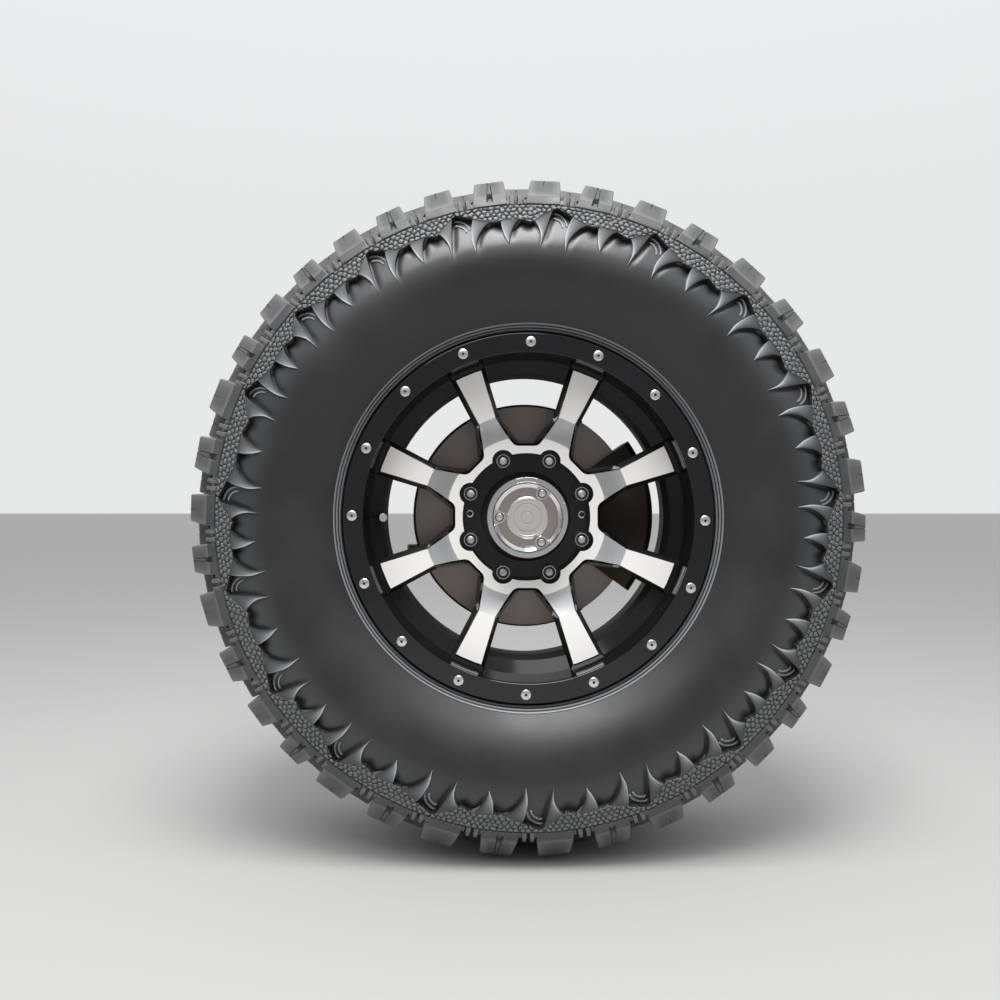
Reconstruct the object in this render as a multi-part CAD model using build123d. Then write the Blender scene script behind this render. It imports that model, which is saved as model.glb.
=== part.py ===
"""Front wheel end of a lifted off-road 4x4, as it comes off the end of the axle tube.

The frame: the origin is the mouth centre of the axle-tube socket, the wheel axis runs along Y with the
outer face of the wheel towards -Y, the vehicle's front is towards -X and up is +Z. Depths are measured
inboard from the plane of the wheel's outer lip. The kingpin axis crosses the wheel axis and leans inboard
at its top. Angles round the wheel are clockwise from the top, seen from outside.
"""

import os
from math import cos, radians, sin

from build123d import *

# Layout along the wheel axis
socket_to_kingpin = 150.0
kingpin_to_hub_face = 165.0
hub_face_depth = 139.0
kingpin_lean = 8.5

# Fits
seat_gap = 0.2
press_gap = 0.05
journal_gap = 0.3
running_gap = 0.5

# Tyre
tyre_diameter = 884.0
tyre_section = 318.0
tread_width = 232.0
bead_width = 22.0
bead_cushion = 2.0
widest_height = 102.0
tread_wall = 20.0
lug_depth = 18.0
lug_share = 0.62
lug_inner_edge = 66.0
shoulder_foot = 10.0
claw_ledge = 4.0
centre_row = 116.0
pitch_order = "MLLLSSSLLLLSLSLSSSM"
pitch_share = {"S": 17.3, "M": 18.9, "L": 20.3}
first_pitch = 5.2
lugs_in_pitch = (0.35, 0.86)
# down from the crown of the tread: the lug's tip and the groove's floor, at four stations outwards
lug_tip_drop = dict(inner=2.0, tread_edge=12.0, foot=44.0, claw=92.0)
groove_drop = dict(inner=lug_depth, tread_edge=38.0, foot=50.0)

# Rim
rim_width = 228.6
lip_thickness = 12.7
bead_seat_diameter = 431.8
flange_height = 19.1
dish_wall = 6.4
dish_depth = 64.0
ledge_width = 17.0
ledge_slope = 10.0
well_drop = 16.9
well_start = 82.0
well_end = 128.0
well_ramp = 42.0
rear_wall = 6.9

# Valve, on the middle of the ledge
valve_angle = 270.0
valve_lean = 24.0
valve_radius = 4.2
valve_length = 26.0
valve_pocket = 5.0
valve_pocket_radius = 8.5
valve_cap_wall = 1.3
valve_cap_length = 12.0
valve_cap_crown = 4.0

# Bolted trim ring
ring_thickness = 6.0
ring_step = 0.5

# Spoked face
spokes = 8
spoke_end_width = 37.0
spoke_neck_width = 23.0
spoke_end_gap = 5.5
spoke_neck_radius = 139.0
spoke_end_depth = 50.0
spoke_neck_depth = 60.0
hub_ring_radius = 109.0
hub_ring_depth = 90.0
window_foot_radius = 98.0
window_foot_width = 31.0
window_draft = 5.0
window_corner = 8.0
spoke_back_depth = 92.0
spoke_back_radius = 152.0
spoke_core_width = 13.0
spoke_core_length = 38.0
spoke_core = 15.0
pad_radius = 104.0
pad_thickness = 18.0
pad_flare = 8.0
pocket_radius = 87.0
nut_pocket_radius = 15.0
centre_bore = 125.0

# Studs and nuts
stud_count = 8
stud_circle = 165.1
stud_radius = 7.1
stud_end_depth = 100.0
stud_tail = 3.0
nut_radius = 9.8
nut_end_depth = 97.0

# Hub and drive
hub_flange_radius = 98.0
hub_flange = 16.0
hub_nose_radius = 54.0
hub_nose_depth = 69.0
hub_barrel_radius = 62.0
hub_nut_gap = 5.0
drive_hub_radius = 52.5
drive_hub_depth = 34.0
drive_hub_rim = 6.0
drive_hub_floor = 52.0
drive_notch_radius = 3.0
drive_notch_angles = (65.0, 115.0)
drive_cap_depth = 31.0
drive_cap_edge = 6.3
drive_cap_recess = 5.0
drive_badge_radius = 26.0
drive_badge = 2.5
screw_boss_radius = 6.5
screw_boss_angles = (31.0, 151.0, 271.0)
shaft_radius = 17.5
shaft_end_depth = 62.0
cross_span = 92.0
cross_cap_radius = 15.0
cross_pin_radius = 9.0
fork_ear = 16.0
fork_width = 46.0
fork_neck = 36.0
fork_base = 14.0
fork_round = 12.0

# Spindle
spindle_radius = 30.0
spindle_end_depth = 85.0
spindle_flange_radius = 72.0
spindle_flange = 12.0
spindle_pilot_radius = 40.0
spindle_pilot = 12.0
spindle_nut_circle = 58.0
spindle_nut_count = 5
spindle_nut_angle = 36.0
spindle_nut_width = 19.0
spindle_nut = 9.0

# Brake, sized from the barrel of the wheel inwards
wheel_clearance = 8.5
disc_thickness = 32.0
disc_plate = 11.0
disc_inner_step = 6.0
disc_to_hub_face = 45.0
disc_vanes = 20
disc_vane = 7.0
disc_vane_inset = 2.0
hat_radius = 100.0
hat_wall = 8.0
pad_lining = 12.0
pad_to_hat = 8.0
pad_to_edge = 3.0
pad_angle = 58.0
caliper_angle = 90.0
caliper_span_angle = 72.0
caliper_bridge = 19.0
caliper_bridge_gap = 5.0
caliper_finger = 14.0
caliper_overhang = 1.0
caliper_chamfer = 8.0
caliper_shoulder = 22.0
caliper_slope = 14.0
caliper_back = 44.0
piston_radius = 30.0
piston_angle = 27.0
inlet_boss_radius = 9.0
inlet_boss = 7.0
inlet_radius = 5.0
guide_pin_radius = 6.0
guide_pin_inset = 12.0
guide_pin_angle = 45.0
guide_pin_head_radius = 10.0
guide_pin_head = 7.0
guide_ear_radius = 15.0
guide_arm_half = 12.0
guide_ear = 11.0
guide_arm_root_angle = 3.0
shield_gap = 5.5
shield_sheet = 2.0
shield_lip = 12.0
shield_notch_angle = 26.0
shield_land = 8.0
disc_clearance = 5.5

# Knuckle
knuckle_face = 78.0
knuckle_web = 24.0
knuckle_radius = 88.0
knuckle_bevel = dict(radial=14.0, axial=6.0)
boss_radius = 34.0
boss_root = 5.0
arm_half_width = 26.0
arm_stock = 10.0
# each arm from its boss to the web: elbow and turn outboard of the kingpin, root heights on the web
knuckle_arms = {
    "upper": dict(elbow=48.0, turn=62.0, roots=(40.0, 80.0)),
    "lower": dict(elbow=43.0, turn=36.0, roots=(-50.0, -122.0)),
}
lower_arm_back = 66.0
caliper_ear_angle = 14.0
caliper_ear_edge = 14.0
caliper_ear_root = 10.0
steer_arm_reach = 165.0
steer_arm_y = -125.0
steer_arm_z = -62.0
steer_arm_thickness = 26.0
steer_arm_root = dict(near=30.0, far=76.0, bend=88.0, depth=22.0, bend_depth=36.0)
steer_arm_tip = dict(front=(15.0, 13.0), back=(14.0, 14.0))
tie_rod_eye_radius = 21.0
tie_rod_hole_radius = 9.0
ball_housing_radius = 22.0
ball_socket_floor = 6.0
ball_socket_lip = 2.0
ball_boot_wall = 7.0
ball_stud_radius = 12.0
ball_nut_width = 32.0
ball_nut = 14.0
ball_nut_slot = 5.0
ball_nut_end = 4.0
# along the kingpin axis: the knuckle's boss, then the yoke's eye above it
ball_joints = {
    "upper": dict(boss=(60.0, 98.0), eye=(106.0, 138.0)),
    "lower": dict(boss=(-152.0, -114.0), eye=(-106.0, -74.0)),
}

# Axle yoke
tube_diameter = 79.4
socket_depth = 60.0
socket_wall = 14.0
yoke_half_width = 25.0
yoke_back = 95.0
yoke_throat = 60.0
yoke_nose = 5.0
yoke_bend = dict(upper_back=38.0, lower_back=50.0, throat=46.0)
yoke_slope = dict(upper=62.0, lower=50.0)
yoke_throat_corner = dict(upper=16.0, lower=14.0)
shaft_hole_radius = 28.0
socket_embed = 14.0

# Worked out from the above
kingpin_y = -socket_to_kingpin
hub_face_y = kingpin_y - kingpin_to_hub_face
lip_y = hub_face_y - hub_face_depth
rim_overall = rim_width + 2 * lip_thickness
tyre_y = lip_y + rim_overall / 2
tyre_radius = tyre_diameter / 2
bead_seat_radius = bead_seat_diameter / 2
lip_radius = bead_seat_radius + flange_height
dish_radius = bead_seat_radius - dish_wall
barrel_radius = dish_radius - ledge_width
well_radius = bead_seat_radius - well_drop
barrel_middle = (barrel_radius + well_radius) / 2
spoke_end_radius = dish_radius - spoke_end_gap
valve_circle = dish_radius - ledge_width / 2
half_tread = tread_width / 2
kingpin_depth = kingpin_y - lip_y
hub_back = hub_face_depth + hub_flange
disc_out = hub_face_depth + disc_to_hub_face
disc_in = disc_out + disc_thickness
bridge_radius = barrel_radius - wheel_clearance - caliper_bridge
disc_radius = bridge_radius - caliper_bridge_gap
disc_inner_radius = hat_radius + disc_inner_step
pad_inner_radius = hat_radius + pad_to_hat
pad_outer_radius = disc_radius - pad_to_edge
piston_circle = (pad_inner_radius + pad_outer_radius) / 2
guide_pin_circle = disc_radius - guide_pin_inset
shield_radius = disc_radius + shield_gap
knuckle_out = kingpin_depth - knuckle_face
knuckle_in = knuckle_out + knuckle_web
flange_back = knuckle_out - shield_sheet
hub_barrel_end = flange_back - spindle_flange - spindle_nut - hub_nut_gap
kingpin = Pos(0, kingpin_y, 0) * Rot(-kingpin_lean, 0, 0)


def turned(corners, arc=360.0):
    """A solid turned about the wheel axis from (radius, depth) corners."""
    outline = Polyline(*((r, lip_y + depth) for r, depth in corners), close=True)
    return revolve(make_face(outline), Axis.Y, arc)


def sector(corners, middle, arc):
    """A part-turned solid whose middle lies at an angle clockwise from the top."""
    return Rot(0, middle - 90 - arc / 2, 0) * turned(corners, arc)


def bar(radius, start, end, x=0.0, z=0.0):
    """A round bar along the wheel axis between two depths."""
    middle = lip_y + (start + end) / 2
    return Pos(x, middle, z) * Rot(90, 0, 0) * Cylinder(radius, end - start)


def pin(radius, low, high):
    """A round bar along the kingpin axis."""
    return kingpin * Pos(0, 0, (low + high) / 2) * Cylinder(radius, high - low)


def facing(depth):
    """A plane square to the wheel axis, seen from outside, for (x, z) outlines."""
    return Plane(origin=(0, lip_y + depth, 0), x_dir=(1, 0, 0), z_dir=(0, -1, 0))


def slab(outline, half_width):
    """A plate in the plane of the kingpin, from (outboard, along the kingpin) corners."""
    face = make_face(Polyline(*((-u, k) for u, k in outline), close=True))
    return kingpin * extrude(Plane.YZ * face, half_width, both=True)


def around(piece, angles):
    """Copies of a piece at angles clockwise from the top."""
    return [Rot(0, angle, 0) * piece for angle in angles]


def clock(radius, angle):
    """The x and z of a point at a radius and a clock angle."""
    return radius * sin(radians(angle)), radius * cos(radians(angle))


def evenly(count, first=0.0):
    return [first + 360 * i / count for i in range(count)]


def pitches():
    """The start and size of each tread pitch, in degrees."""
    total = sum(pitch_share[size] for size in pitch_order)
    start = first_pitch
    for size in pitch_order:
        span = 360 * pitch_share[size] / total
        yield start, span
        start += span


def lug_edges():
    """The edges of each shoulder lug, in degrees."""
    for start, span in pitches():
        half = span / 4 * lug_share
        for share in lugs_in_pitch:
            middle = start + share * span
            yield middle - half, middle + half


def across_tyre(out):
    """A plane square to the wheel axis, at a distance outboard of the tyre's centre plane."""
    return Plane(origin=(0, tyre_y - out, 0), x_dir=(1, 0, 0), z_dir=(0, -1, 0))


def toothed(out, lug, groove):
    """The tread's outline at one station: a flat on each lug and a flat in each groove."""
    points = []
    for low, high in lug_edges():
        for radius, angle in ((groove, low), (lug, low), (lug, high), (groove, high)):
            points.append(clock(radius, angle))
    return across_tyre(out) * make_face(Polyline(*points, close=True))


def shoulder(side):
    """One row of lugs, over the shoulder and down the sidewall as claws, each flat a true plane."""
    half_section = tyre_section / 2
    places = (lug_inner_edge, half_tread, half_section - shoulder_foot, half_section)
    tips = [tyre_radius - drop for drop in lug_tip_drop.values()]
    floors = [tyre_radius - drop for drop in groove_drop.values()]
    floors.append(bead_seat_radius + widest_height + claw_ledge)
    rows = zip(places, tips, floors)
    row = loft([toothed(side * out, tip, floor) for out, tip, floor in rows], ruled=True)
    return Solid(Shell([Face(face.outer_wire()) for face in row.faces()]))


def tread_centre():
    """The floor between the shoulder rows, with one block in line with each groove."""
    floor = tyre_radius - lug_depth
    corners = [clock(floor, angle) for edges in lug_edges() for angle in edges]
    outline = across_tyre(lug_inner_edge) * make_face(Polyline(*corners, close=True))
    drum = extrude(outline, -2 * lug_inner_edge)
    blocks = extrude(toothed(centre_row / 2, floor, tyre_radius), -centre_row)
    return drum + blocks


def inside_tyre():
    """What the rim and the air take up: bead bores, the dished sidewalls and the air chamber."""
    bead_face = rim_width / 2 - seat_gap
    bore = bead_seat_radius + seat_gap
    half = [
        (0.0, tyre_section / 2),
        (bead_seat_radius + widest_height, tyre_section / 2),
        (lip_radius + bead_cushion, bead_face),
        (bore, bead_face),
        (bore, bead_face - bead_width),
        (tyre_radius - lug_depth - tread_wall, bead_face - bead_width),
    ]
    corners = half + [(r, -out) for r, out in reversed(half)]
    return revolve(make_face(Polyline(*((r, tyre_y + out) for r, out in corners), close=True)), Axis.Y)


def tyre():
    return tread_centre() + [shoulder(side) for side in (-1, 1)] - inside_tyre()


def rim():
    """The barrel: lips, bead seats, drop centre and the stepped dish wall."""
    inner_flange = rim_overall - lip_thickness
    rear_radius = bead_seat_radius - rear_wall
    ramp_wall = dish_wall / 2
    return turned(
        [
            (dish_radius, ring_thickness),
            (lip_radius, ring_thickness),
            (lip_radius, lip_thickness),
            (bead_seat_radius, lip_thickness),
            (bead_seat_radius, well_start),
            (well_radius, well_start),
            (well_radius, well_end),
            (bead_seat_radius, well_end + well_ramp),
            (bead_seat_radius, inner_flange),
            (lip_radius, inner_flange),
            (lip_radius, rim_overall),
            (rear_radius, rim_overall),
            (rear_radius, well_end + well_ramp + ramp_wall),
            (barrel_radius, well_end - ramp_wall),
            (barrel_radius, dish_depth + ledge_slope),
            (dish_radius, dish_depth),
        ]
    )


def spoke_edge(radius, width):
    """Where a spoke's edge meets the window at the top, at a distance along the spoke."""
    half_pitch = radians(180 / spokes)
    x = radius * sin(half_pitch) - width / 2 * cos(half_pitch)
    z = radius * cos(half_pitch) + width / 2 * sin(half_pitch)
    return x, z


def window(depth, grow):
    """The outline at one depth of the window at the top, wider by grow on each side."""
    reach = lip_radius + lip_thickness + abs(grow)
    flare = (spoke_end_width - spoke_neck_width) / (spoke_end_radius - spoke_neck_radius)
    end_width = spoke_neck_width + flare * (reach - spoke_neck_radius)
    right = [
        (window_foot_width / 2 + grow / 2, window_foot_radius - grow),
        spoke_edge(spoke_neck_radius, spoke_neck_width - 2 * grow),
        spoke_edge(reach, end_width - 2 * grow),
    ]
    left = [(-x, z) for x, z in reversed(right)]
    rounds = [0, window_corner, window_corner, window_corner, window_corner, 0]
    outline = FilletPolyline(*left, *right, radius=rounds, close=True)
    return facing(depth) * make_face(outline)


def window_cut():
    """One drafted window, open outwards, wider at the face than at the back."""
    front = window(spoke_end_depth - 10, 0.0)
    back = window(hub_face_depth + 5, -window_draft)
    return loft([front, back], ruled=True)


def spoke_cores():
    """The hollow cast into the back of each spoke."""
    top = spoke_back_radius + spoke_core_length
    outline = Pos(0, (spoke_back_radius + top) / 2) * Rectangle(spoke_core_width, top - spoke_back_radius)
    core = extrude(facing(hub_face_depth) * outline, hub_face_depth - spoke_back_depth + spoke_core)
    return around(core, evenly(spokes, 180 / spokes))


def spoked_face():
    pocket_floor = hub_face_depth - pad_thickness
    rim_joint = dish_radius + dish_wall / 2
    body = turned(
        [
            (centre_bore / 2, pocket_floor),
            (pocket_radius, pocket_floor),
            (pocket_radius, hub_ring_depth),
            (hub_ring_radius, hub_ring_depth),
            (spoke_neck_radius, spoke_neck_depth),
            (spoke_end_radius, spoke_end_depth),
            (rim_joint, spoke_end_depth),
            (rim_joint, dish_depth),
            (barrel_middle, well_start),
            (spoke_back_radius, spoke_back_depth),
            (pad_radius + pad_flare, pocket_floor),
            (pad_radius, hub_face_depth),
            (centre_bore / 2, hub_face_depth),
        ]
    )
    return body - around(window_cut(), evenly(spokes)) - spoke_cores()


def alloy_wheel():
    pocket_floor = hub_face_depth - pad_thickness
    hole = stud_radius + running_gap
    top = (0.0, stud_circle / 2)
    scallop = bar(nut_pocket_radius, hub_ring_depth - 1, pocket_floor, *top)
    drilled = bar(hole, pocket_floor - 1, hub_face_depth + 1, *top)
    cuts = [
        piece
        for tool in (scallop, drilled)
        for piece in around(tool, evenly(stud_count, 180 / stud_count))
    ]
    return rim() + spoked_face() - cuts - valve_piece(valve_pocket_radius, -valve_pocket, valve_length)


def bead_ring():
    """The flat trim ring bolted to the outer lip."""
    return bar(lip_radius, 0, ring_thickness) - bar(dish_radius + ring_step, -1, ring_thickness + 1)


def lug_nuts():
    """Round splined-drive nuts, open at the outer end."""
    seat = hub_face_depth - pad_thickness
    nut = bar(nut_radius, nut_end_depth, seat) - bar(stud_radius + press_gap, nut_end_depth - 1, seat + 1)
    placed = Pos(0, 0, stud_circle / 2) * nut
    return Part() + around(placed, evenly(stud_count, 180 / stud_count))


def wheel_hub():
    """The hub with its pressed-in studs, which also hold the disc."""
    bore = spindle_radius + journal_gap
    body = turned(
        [
            (bore, hub_nose_depth),
            (hub_nose_radius, hub_nose_depth),
            (hub_nose_radius, hub_face_depth),
            (hub_flange_radius, hub_face_depth),
            (hub_flange_radius, hub_back),
            (hub_barrel_radius, hub_back),
            (hub_barrel_radius, hub_barrel_end),
            (bore, hub_barrel_end),
        ]
    )
    stud = bar(stud_radius, stud_end_depth, hub_back + hat_wall + stud_tail, 0, stud_circle / 2)
    return body + around(stud, evenly(stud_count, 180 / stud_count))


def brake_disc():
    """The vented disc: hat and outer plate in one turning, inner plate and vanes behind it."""
    plate_back = disc_out + disc_plate
    inner_plate = disc_in - disc_plate
    hat_back = hub_back + hat_wall
    bore = hub_barrel_radius + seat_gap
    body = turned(
        [
            (bore, hub_back),
            (hat_radius, hub_back),
            (hat_radius, disc_out),
            (disc_radius, disc_out),
            (disc_radius, plate_back),
            (hat_radius - hat_wall, plate_back),
            (hat_radius - hat_wall, hat_back),
            (bore, hat_back),
        ]
    )
    inner = turned(
        [
            (disc_inner_radius, inner_plate),
            (disc_radius, inner_plate),
            (disc_radius, disc_in),
            (disc_inner_radius, disc_in),
        ]
    )
    length = disc_radius - disc_inner_radius - 2 * disc_vane_inset
    middle = (disc_radius + disc_inner_radius) / 2
    vane = Box(disc_vane, disc_thickness - disc_plate, length)
    vane = Pos(0, lip_y + disc_out + disc_thickness / 2, middle) * vane
    hole = bar(stud_radius + seat_gap, hub_back - 1, hat_back + 1, 0, stud_circle / 2)
    holes = around(hole, evenly(stud_count, 180 / stud_count))
    return body + inner + around(vane, evenly(disc_vanes)) - holes


def locking_hub():
    """The round chrome body on the end of the hub, hollow in front for its cap."""
    shaft_bore = shaft_radius + seat_gap
    notch = bar(drive_notch_radius, drive_hub_depth - 1, drive_cap_depth + drive_hub_rim, 0, drive_hub_radius)
    body = turned(
        [
            (0, drive_hub_floor),
            (drive_hub_radius - drive_hub_rim, drive_hub_floor),
            (drive_hub_radius - drive_hub_rim, drive_hub_depth),
            (drive_hub_radius, drive_hub_depth),
            (drive_hub_radius, hub_nose_depth),
            (shaft_bore, hub_nose_depth),
            (shaft_bore, shaft_end_depth),
            (0, shaft_end_depth),
        ]
    )
    return body - around(notch, drive_notch_angles)


def locking_hub_cap():
    """The cap: a raised rim, a recess that three screw bosses turn into lobes, a round badge pad."""
    edge = drive_hub_radius - drive_hub_rim - seat_gap
    recess = edge - drive_cap_edge
    floor = drive_cap_depth + drive_cap_recess
    boss = bar(screw_boss_radius, drive_cap_depth + 1, floor, 0, recess - screw_boss_radius / 2)
    hollow = bar(recess, drive_cap_depth - 1, floor) - around(boss, screw_boss_angles)
    body = bar(edge, drive_cap_depth, drive_hub_floor) - hollow
    return body + bar(drive_badge_radius, floor - drive_badge, floor)


def valve_piece(radius, start, end):
    """A round piece on the valve's leaning axis, between two distances up from the ledge."""
    x, z = clock(valve_circle, valve_angle)
    foot = Pos(x, lip_y + dish_depth + ledge_slope / 2, z)
    lean = Rot(0, 0, valve_lean) * Rot(90, 0, 0)
    return foot * lean * Pos(0, 0, (start + end) / 2) * Cylinder(radius, end - start)


def valve_stem():
    """The metal stem, sunk in its pocket in the ledge at nine o'clock."""
    return valve_piece(valve_radius, -valve_pocket, valve_length)


def valve_cap():
    end = valve_length + valve_cap_crown
    cap = valve_piece(valve_radius + valve_cap_wall, end - valve_cap_length, end)
    return cap - valve_piece(valve_radius + press_gap, end - valve_cap_length - 1, valve_length)


def spindle():
    bore = shaft_radius + running_gap
    return turned(
        [
            (bore, spindle_end_depth),
            (spindle_radius, spindle_end_depth),
            (spindle_radius, flange_back - spindle_flange),
            (spindle_flange_radius, flange_back - spindle_flange),
            (spindle_flange_radius, flange_back),
            (spindle_pilot_radius, flange_back),
            (spindle_pilot_radius, flange_back + spindle_pilot),
            (bore, flange_back + spindle_pilot),
        ]
    )


def hex_prism(width, start, end):
    """A hexagon nut blank along the wheel axis, between two depths."""
    return extrude(facing(end) * RegularPolygon(width / 2, 6, major_radius=False), end - start)


def spindle_nuts():
    front = flange_back - spindle_flange
    nut = hex_prism(spindle_nut_width, front - spindle_nut, front)
    placed = Pos(0, 0, spindle_nut_circle) * nut
    return Part() + around(placed, evenly(spindle_nut_count, spindle_nut_angle))


def dust_shield():
    inner = spindle_pilot_radius + seat_gap
    rim_in = shield_radius - shield_sheet
    body = turned(
        [
            (inner, flange_back),
            (rim_in, flange_back),
            (rim_in, flange_back - shield_lip),
            (shield_radius, flange_back - shield_lip),
            (shield_radius, knuckle_out),
            (inner, knuckle_out),
        ]
    )
    room = sector(
        [
            (spindle_flange_radius + shield_land, flange_back - shield_lip - 1),
            (shield_radius + 1, flange_back - shield_lip - 1),
            (shield_radius + 1, knuckle_out + 1),
            (spindle_flange_radius + shield_land, knuckle_out + 1),
        ],
        caliper_angle,
        2 * guide_pin_angle + shield_notch_angle,
    )
    return body - room


def guide_places():
    return [caliper_angle - guide_pin_angle, caliper_angle + guide_pin_angle]


def caliper():
    """The sliding caliper: fingers outside, bridge over the disc, twin cylinders inside."""
    out_pad = disc_out - running_gap - pad_lining - seat_gap
    in_pad = disc_in + running_gap + pad_lining + seat_gap
    back = in_pad + caliper_back
    inner = pad_inner_radius - caliper_overhang
    outer = bridge_radius + caliper_bridge
    body = sector(
        [
            (inner, out_pad - caliper_finger),
            (outer - caliper_chamfer, out_pad - caliper_finger),
            (outer, out_pad - caliper_finger + caliper_chamfer),
            (outer, in_pad + caliper_chamfer),
            (outer - caliper_slope, in_pad + caliper_shoulder),
            (inner, in_pad + caliper_shoulder),
            (inner, in_pad),
            (bridge_radius, in_pad),
            (bridge_radius, out_pad),
            (inner, out_pad),
        ],
        caliper_angle,
        caliper_span_angle,
    )
    for side in (-1, 1):
        place = clock(piston_circle, caliper_angle + side * piston_angle / 2)
        body += bar(piston_radius, in_pad, back, *place)
    inlet = clock(piston_circle, caliper_angle)
    body += bar(inlet_boss_radius, in_pad, back + inlet_boss, *inlet)
    body -= bar(inlet_radius, back, back + inlet_boss + 1, *inlet)
    ear_out = disc_in + disc_clearance
    for angle in guide_places():
        x, z = clock(guide_pin_circle, angle)
        reach = guide_pin_angle - caliper_span_angle / 2 + guide_arm_root_angle
        ear = bar(guide_ear_radius, ear_out, ear_out + guide_ear, x, z)
        arm = sector(
            [
                (guide_pin_circle - guide_arm_half, ear_out),
                (guide_pin_circle + guide_arm_half, ear_out),
                (guide_pin_circle + guide_arm_half, ear_out + guide_ear),
                (guide_pin_circle - guide_arm_half, ear_out + guide_ear),
            ],
            angle - reach / 2 if angle > caliper_angle else angle + reach / 2,
            reach,
        )
        hole = bar(guide_pin_radius + seat_gap, ear_out - 1, ear_out + guide_ear + 1, x, z)
        body = body + ear + arm - hole
    return body


def brake_pads():
    out_face = disc_out - running_gap
    in_face = disc_in + running_gap
    pads = []
    for start, end in ((out_face - pad_lining, out_face), (in_face, in_face + pad_lining)):
        corners = [
            (pad_inner_radius, start),
            (pad_outer_radius, start),
            (pad_outer_radius, end),
            (pad_inner_radius, end),
        ]
        pads.append(sector(corners, caliper_angle, pad_angle))
    return Part() + pads


def caliper_pins():
    ear_out = disc_in + disc_clearance
    end = knuckle_in
    pins = []
    for angle in guide_places():
        place = clock(guide_pin_circle, angle)
        head = bar(guide_pin_head_radius, end, end + guide_pin_head, *place)
        pins.append(bar(guide_pin_radius, ear_out, end + 1, *place) + head)
    return Part() + pins


def knuckle_arm(name):
    """The plate from the web to one ball joint's boss, with stock for facing off outboard."""
    low, high = ball_joints[name]["boss"]
    arm = knuckle_arms[name]
    near, far = arm["roots"]
    end = knuckle_face + arm_stock
    if name == "upper":
        outline = [(arm["elbow"], low), (arm["turn"], near), (end, near), (end, far), (arm["turn"], high)]
        return slab([(-boss_root, low), *outline, (-boss_root, high)], arm_half_width)
    outline = [(arm["elbow"], high), (arm["elbow"], near), (lower_arm_back, near), (lower_arm_back, far)]
    return slab([(-boss_root, high), *outline, (arm["turn"], low), (-boss_root, low)], arm_half_width)


def caliper_ear(angle):
    """An ear on the web for one guide pin."""
    start = disc_in + disc_clearance + guide_ear + seat_gap
    root = knuckle_radius - caliper_ear_root
    corners = [
        (root, start),
        (guide_pin_circle + caliper_ear_edge, start),
        (guide_pin_circle + caliper_ear_edge, knuckle_in),
        (root, knuckle_in),
    ]
    hole = bar(guide_pin_radius + seat_gap, start - 1, knuckle_in + 1, *clock(guide_pin_circle, angle))
    return sector(corners, angle, caliper_ear_angle) - hole


def steering_arm():
    """The arm that runs forward from the web to the tie-rod eye."""
    root = steer_arm_root
    front, back = steer_arm_tip["front"], steer_arm_tip["back"]
    face_y = lip_y + knuckle_out + shield_sheet
    outline = [
        (-root["near"], face_y),
        (-root["far"], face_y),
        (-steer_arm_reach - front[0], steer_arm_y - front[1]),
        (-steer_arm_reach + back[0], steer_arm_y + back[1]),
        (-root["bend"], face_y + root["bend_depth"]),
        (-root["near"], face_y + root["depth"]),
    ]
    low = steer_arm_z - steer_arm_thickness / 2
    face = make_face(Polyline(*((x, y, low) for x, y in outline), close=True))
    eye_place = Pos(-steer_arm_reach, steer_arm_y, steer_arm_z)
    eye = eye_place * Cylinder(tie_rod_eye_radius, steer_arm_thickness)
    hole = eye_place * Cylinder(tie_rod_hole_radius, steer_arm_thickness + 2)
    return extrude(face, steer_arm_thickness, dir=(0, 0, 1)) + eye - hole


def knuckle():
    """Web, ball-joint bosses, caliper ears and steering arm of the forged knuckle."""
    bore = spindle_pilot_radius + seat_gap
    body = turned(
        [
            (bore, knuckle_out),
            (knuckle_radius, knuckle_out),
            (knuckle_radius, knuckle_in - knuckle_bevel["axial"]),
            (knuckle_radius - knuckle_bevel["radial"], knuckle_in),
            (bore, knuckle_in),
        ]
    )
    for name, joint in ball_joints.items():
        body += pin(boss_radius, *joint["boss"]) + knuckle_arm(name)
    body = body + [caliper_ear(angle) for angle in guide_places()] + steering_arm()
    body -= bar(bore, knuckle_out - 1, knuckle_in + 1)
    body -= bar(steer_arm_reach, knuckle_out - knuckle_web, knuckle_out)
    for joint in ball_joints.values():
        body -= pin(ball_housing_radius + press_gap, joint["boss"][0] - 1, joint["boss"][1] + 1)
    return body


def ball_sockets():
    """The pressed housings that hold the studs' lower ends."""
    housings = []
    for joint in ball_joints.values():
        low, high = joint["boss"]
        low, high = low - ball_socket_lip, high + ball_socket_lip
        hollow = pin(ball_stud_radius + journal_gap, low + ball_socket_lip + ball_socket_floor, high + 1)
        housings.append(pin(ball_housing_radius, low, high) - hollow)
    return Part() + housings


def ball_boots():
    """Rubber rings between each housing and the eye above it."""
    boots = []
    for joint in ball_joints.values():
        low, high = joint["boss"][1] + ball_socket_lip, joint["eye"][0] - running_gap
        hollow = pin(ball_stud_radius + journal_gap, low - 1, high + 1)
        boots.append(pin(ball_stud_radius + ball_boot_wall, low, high) - hollow)
    return Part() + boots


def ball_studs():
    studs = []
    for joint in ball_joints.values():
        top = joint["eye"][1] + ball_nut + ball_nut_end
        studs.append(pin(ball_stud_radius, joint["boss"][0] + ball_socket_floor + 1, top))
    return Part() + studs


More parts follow.
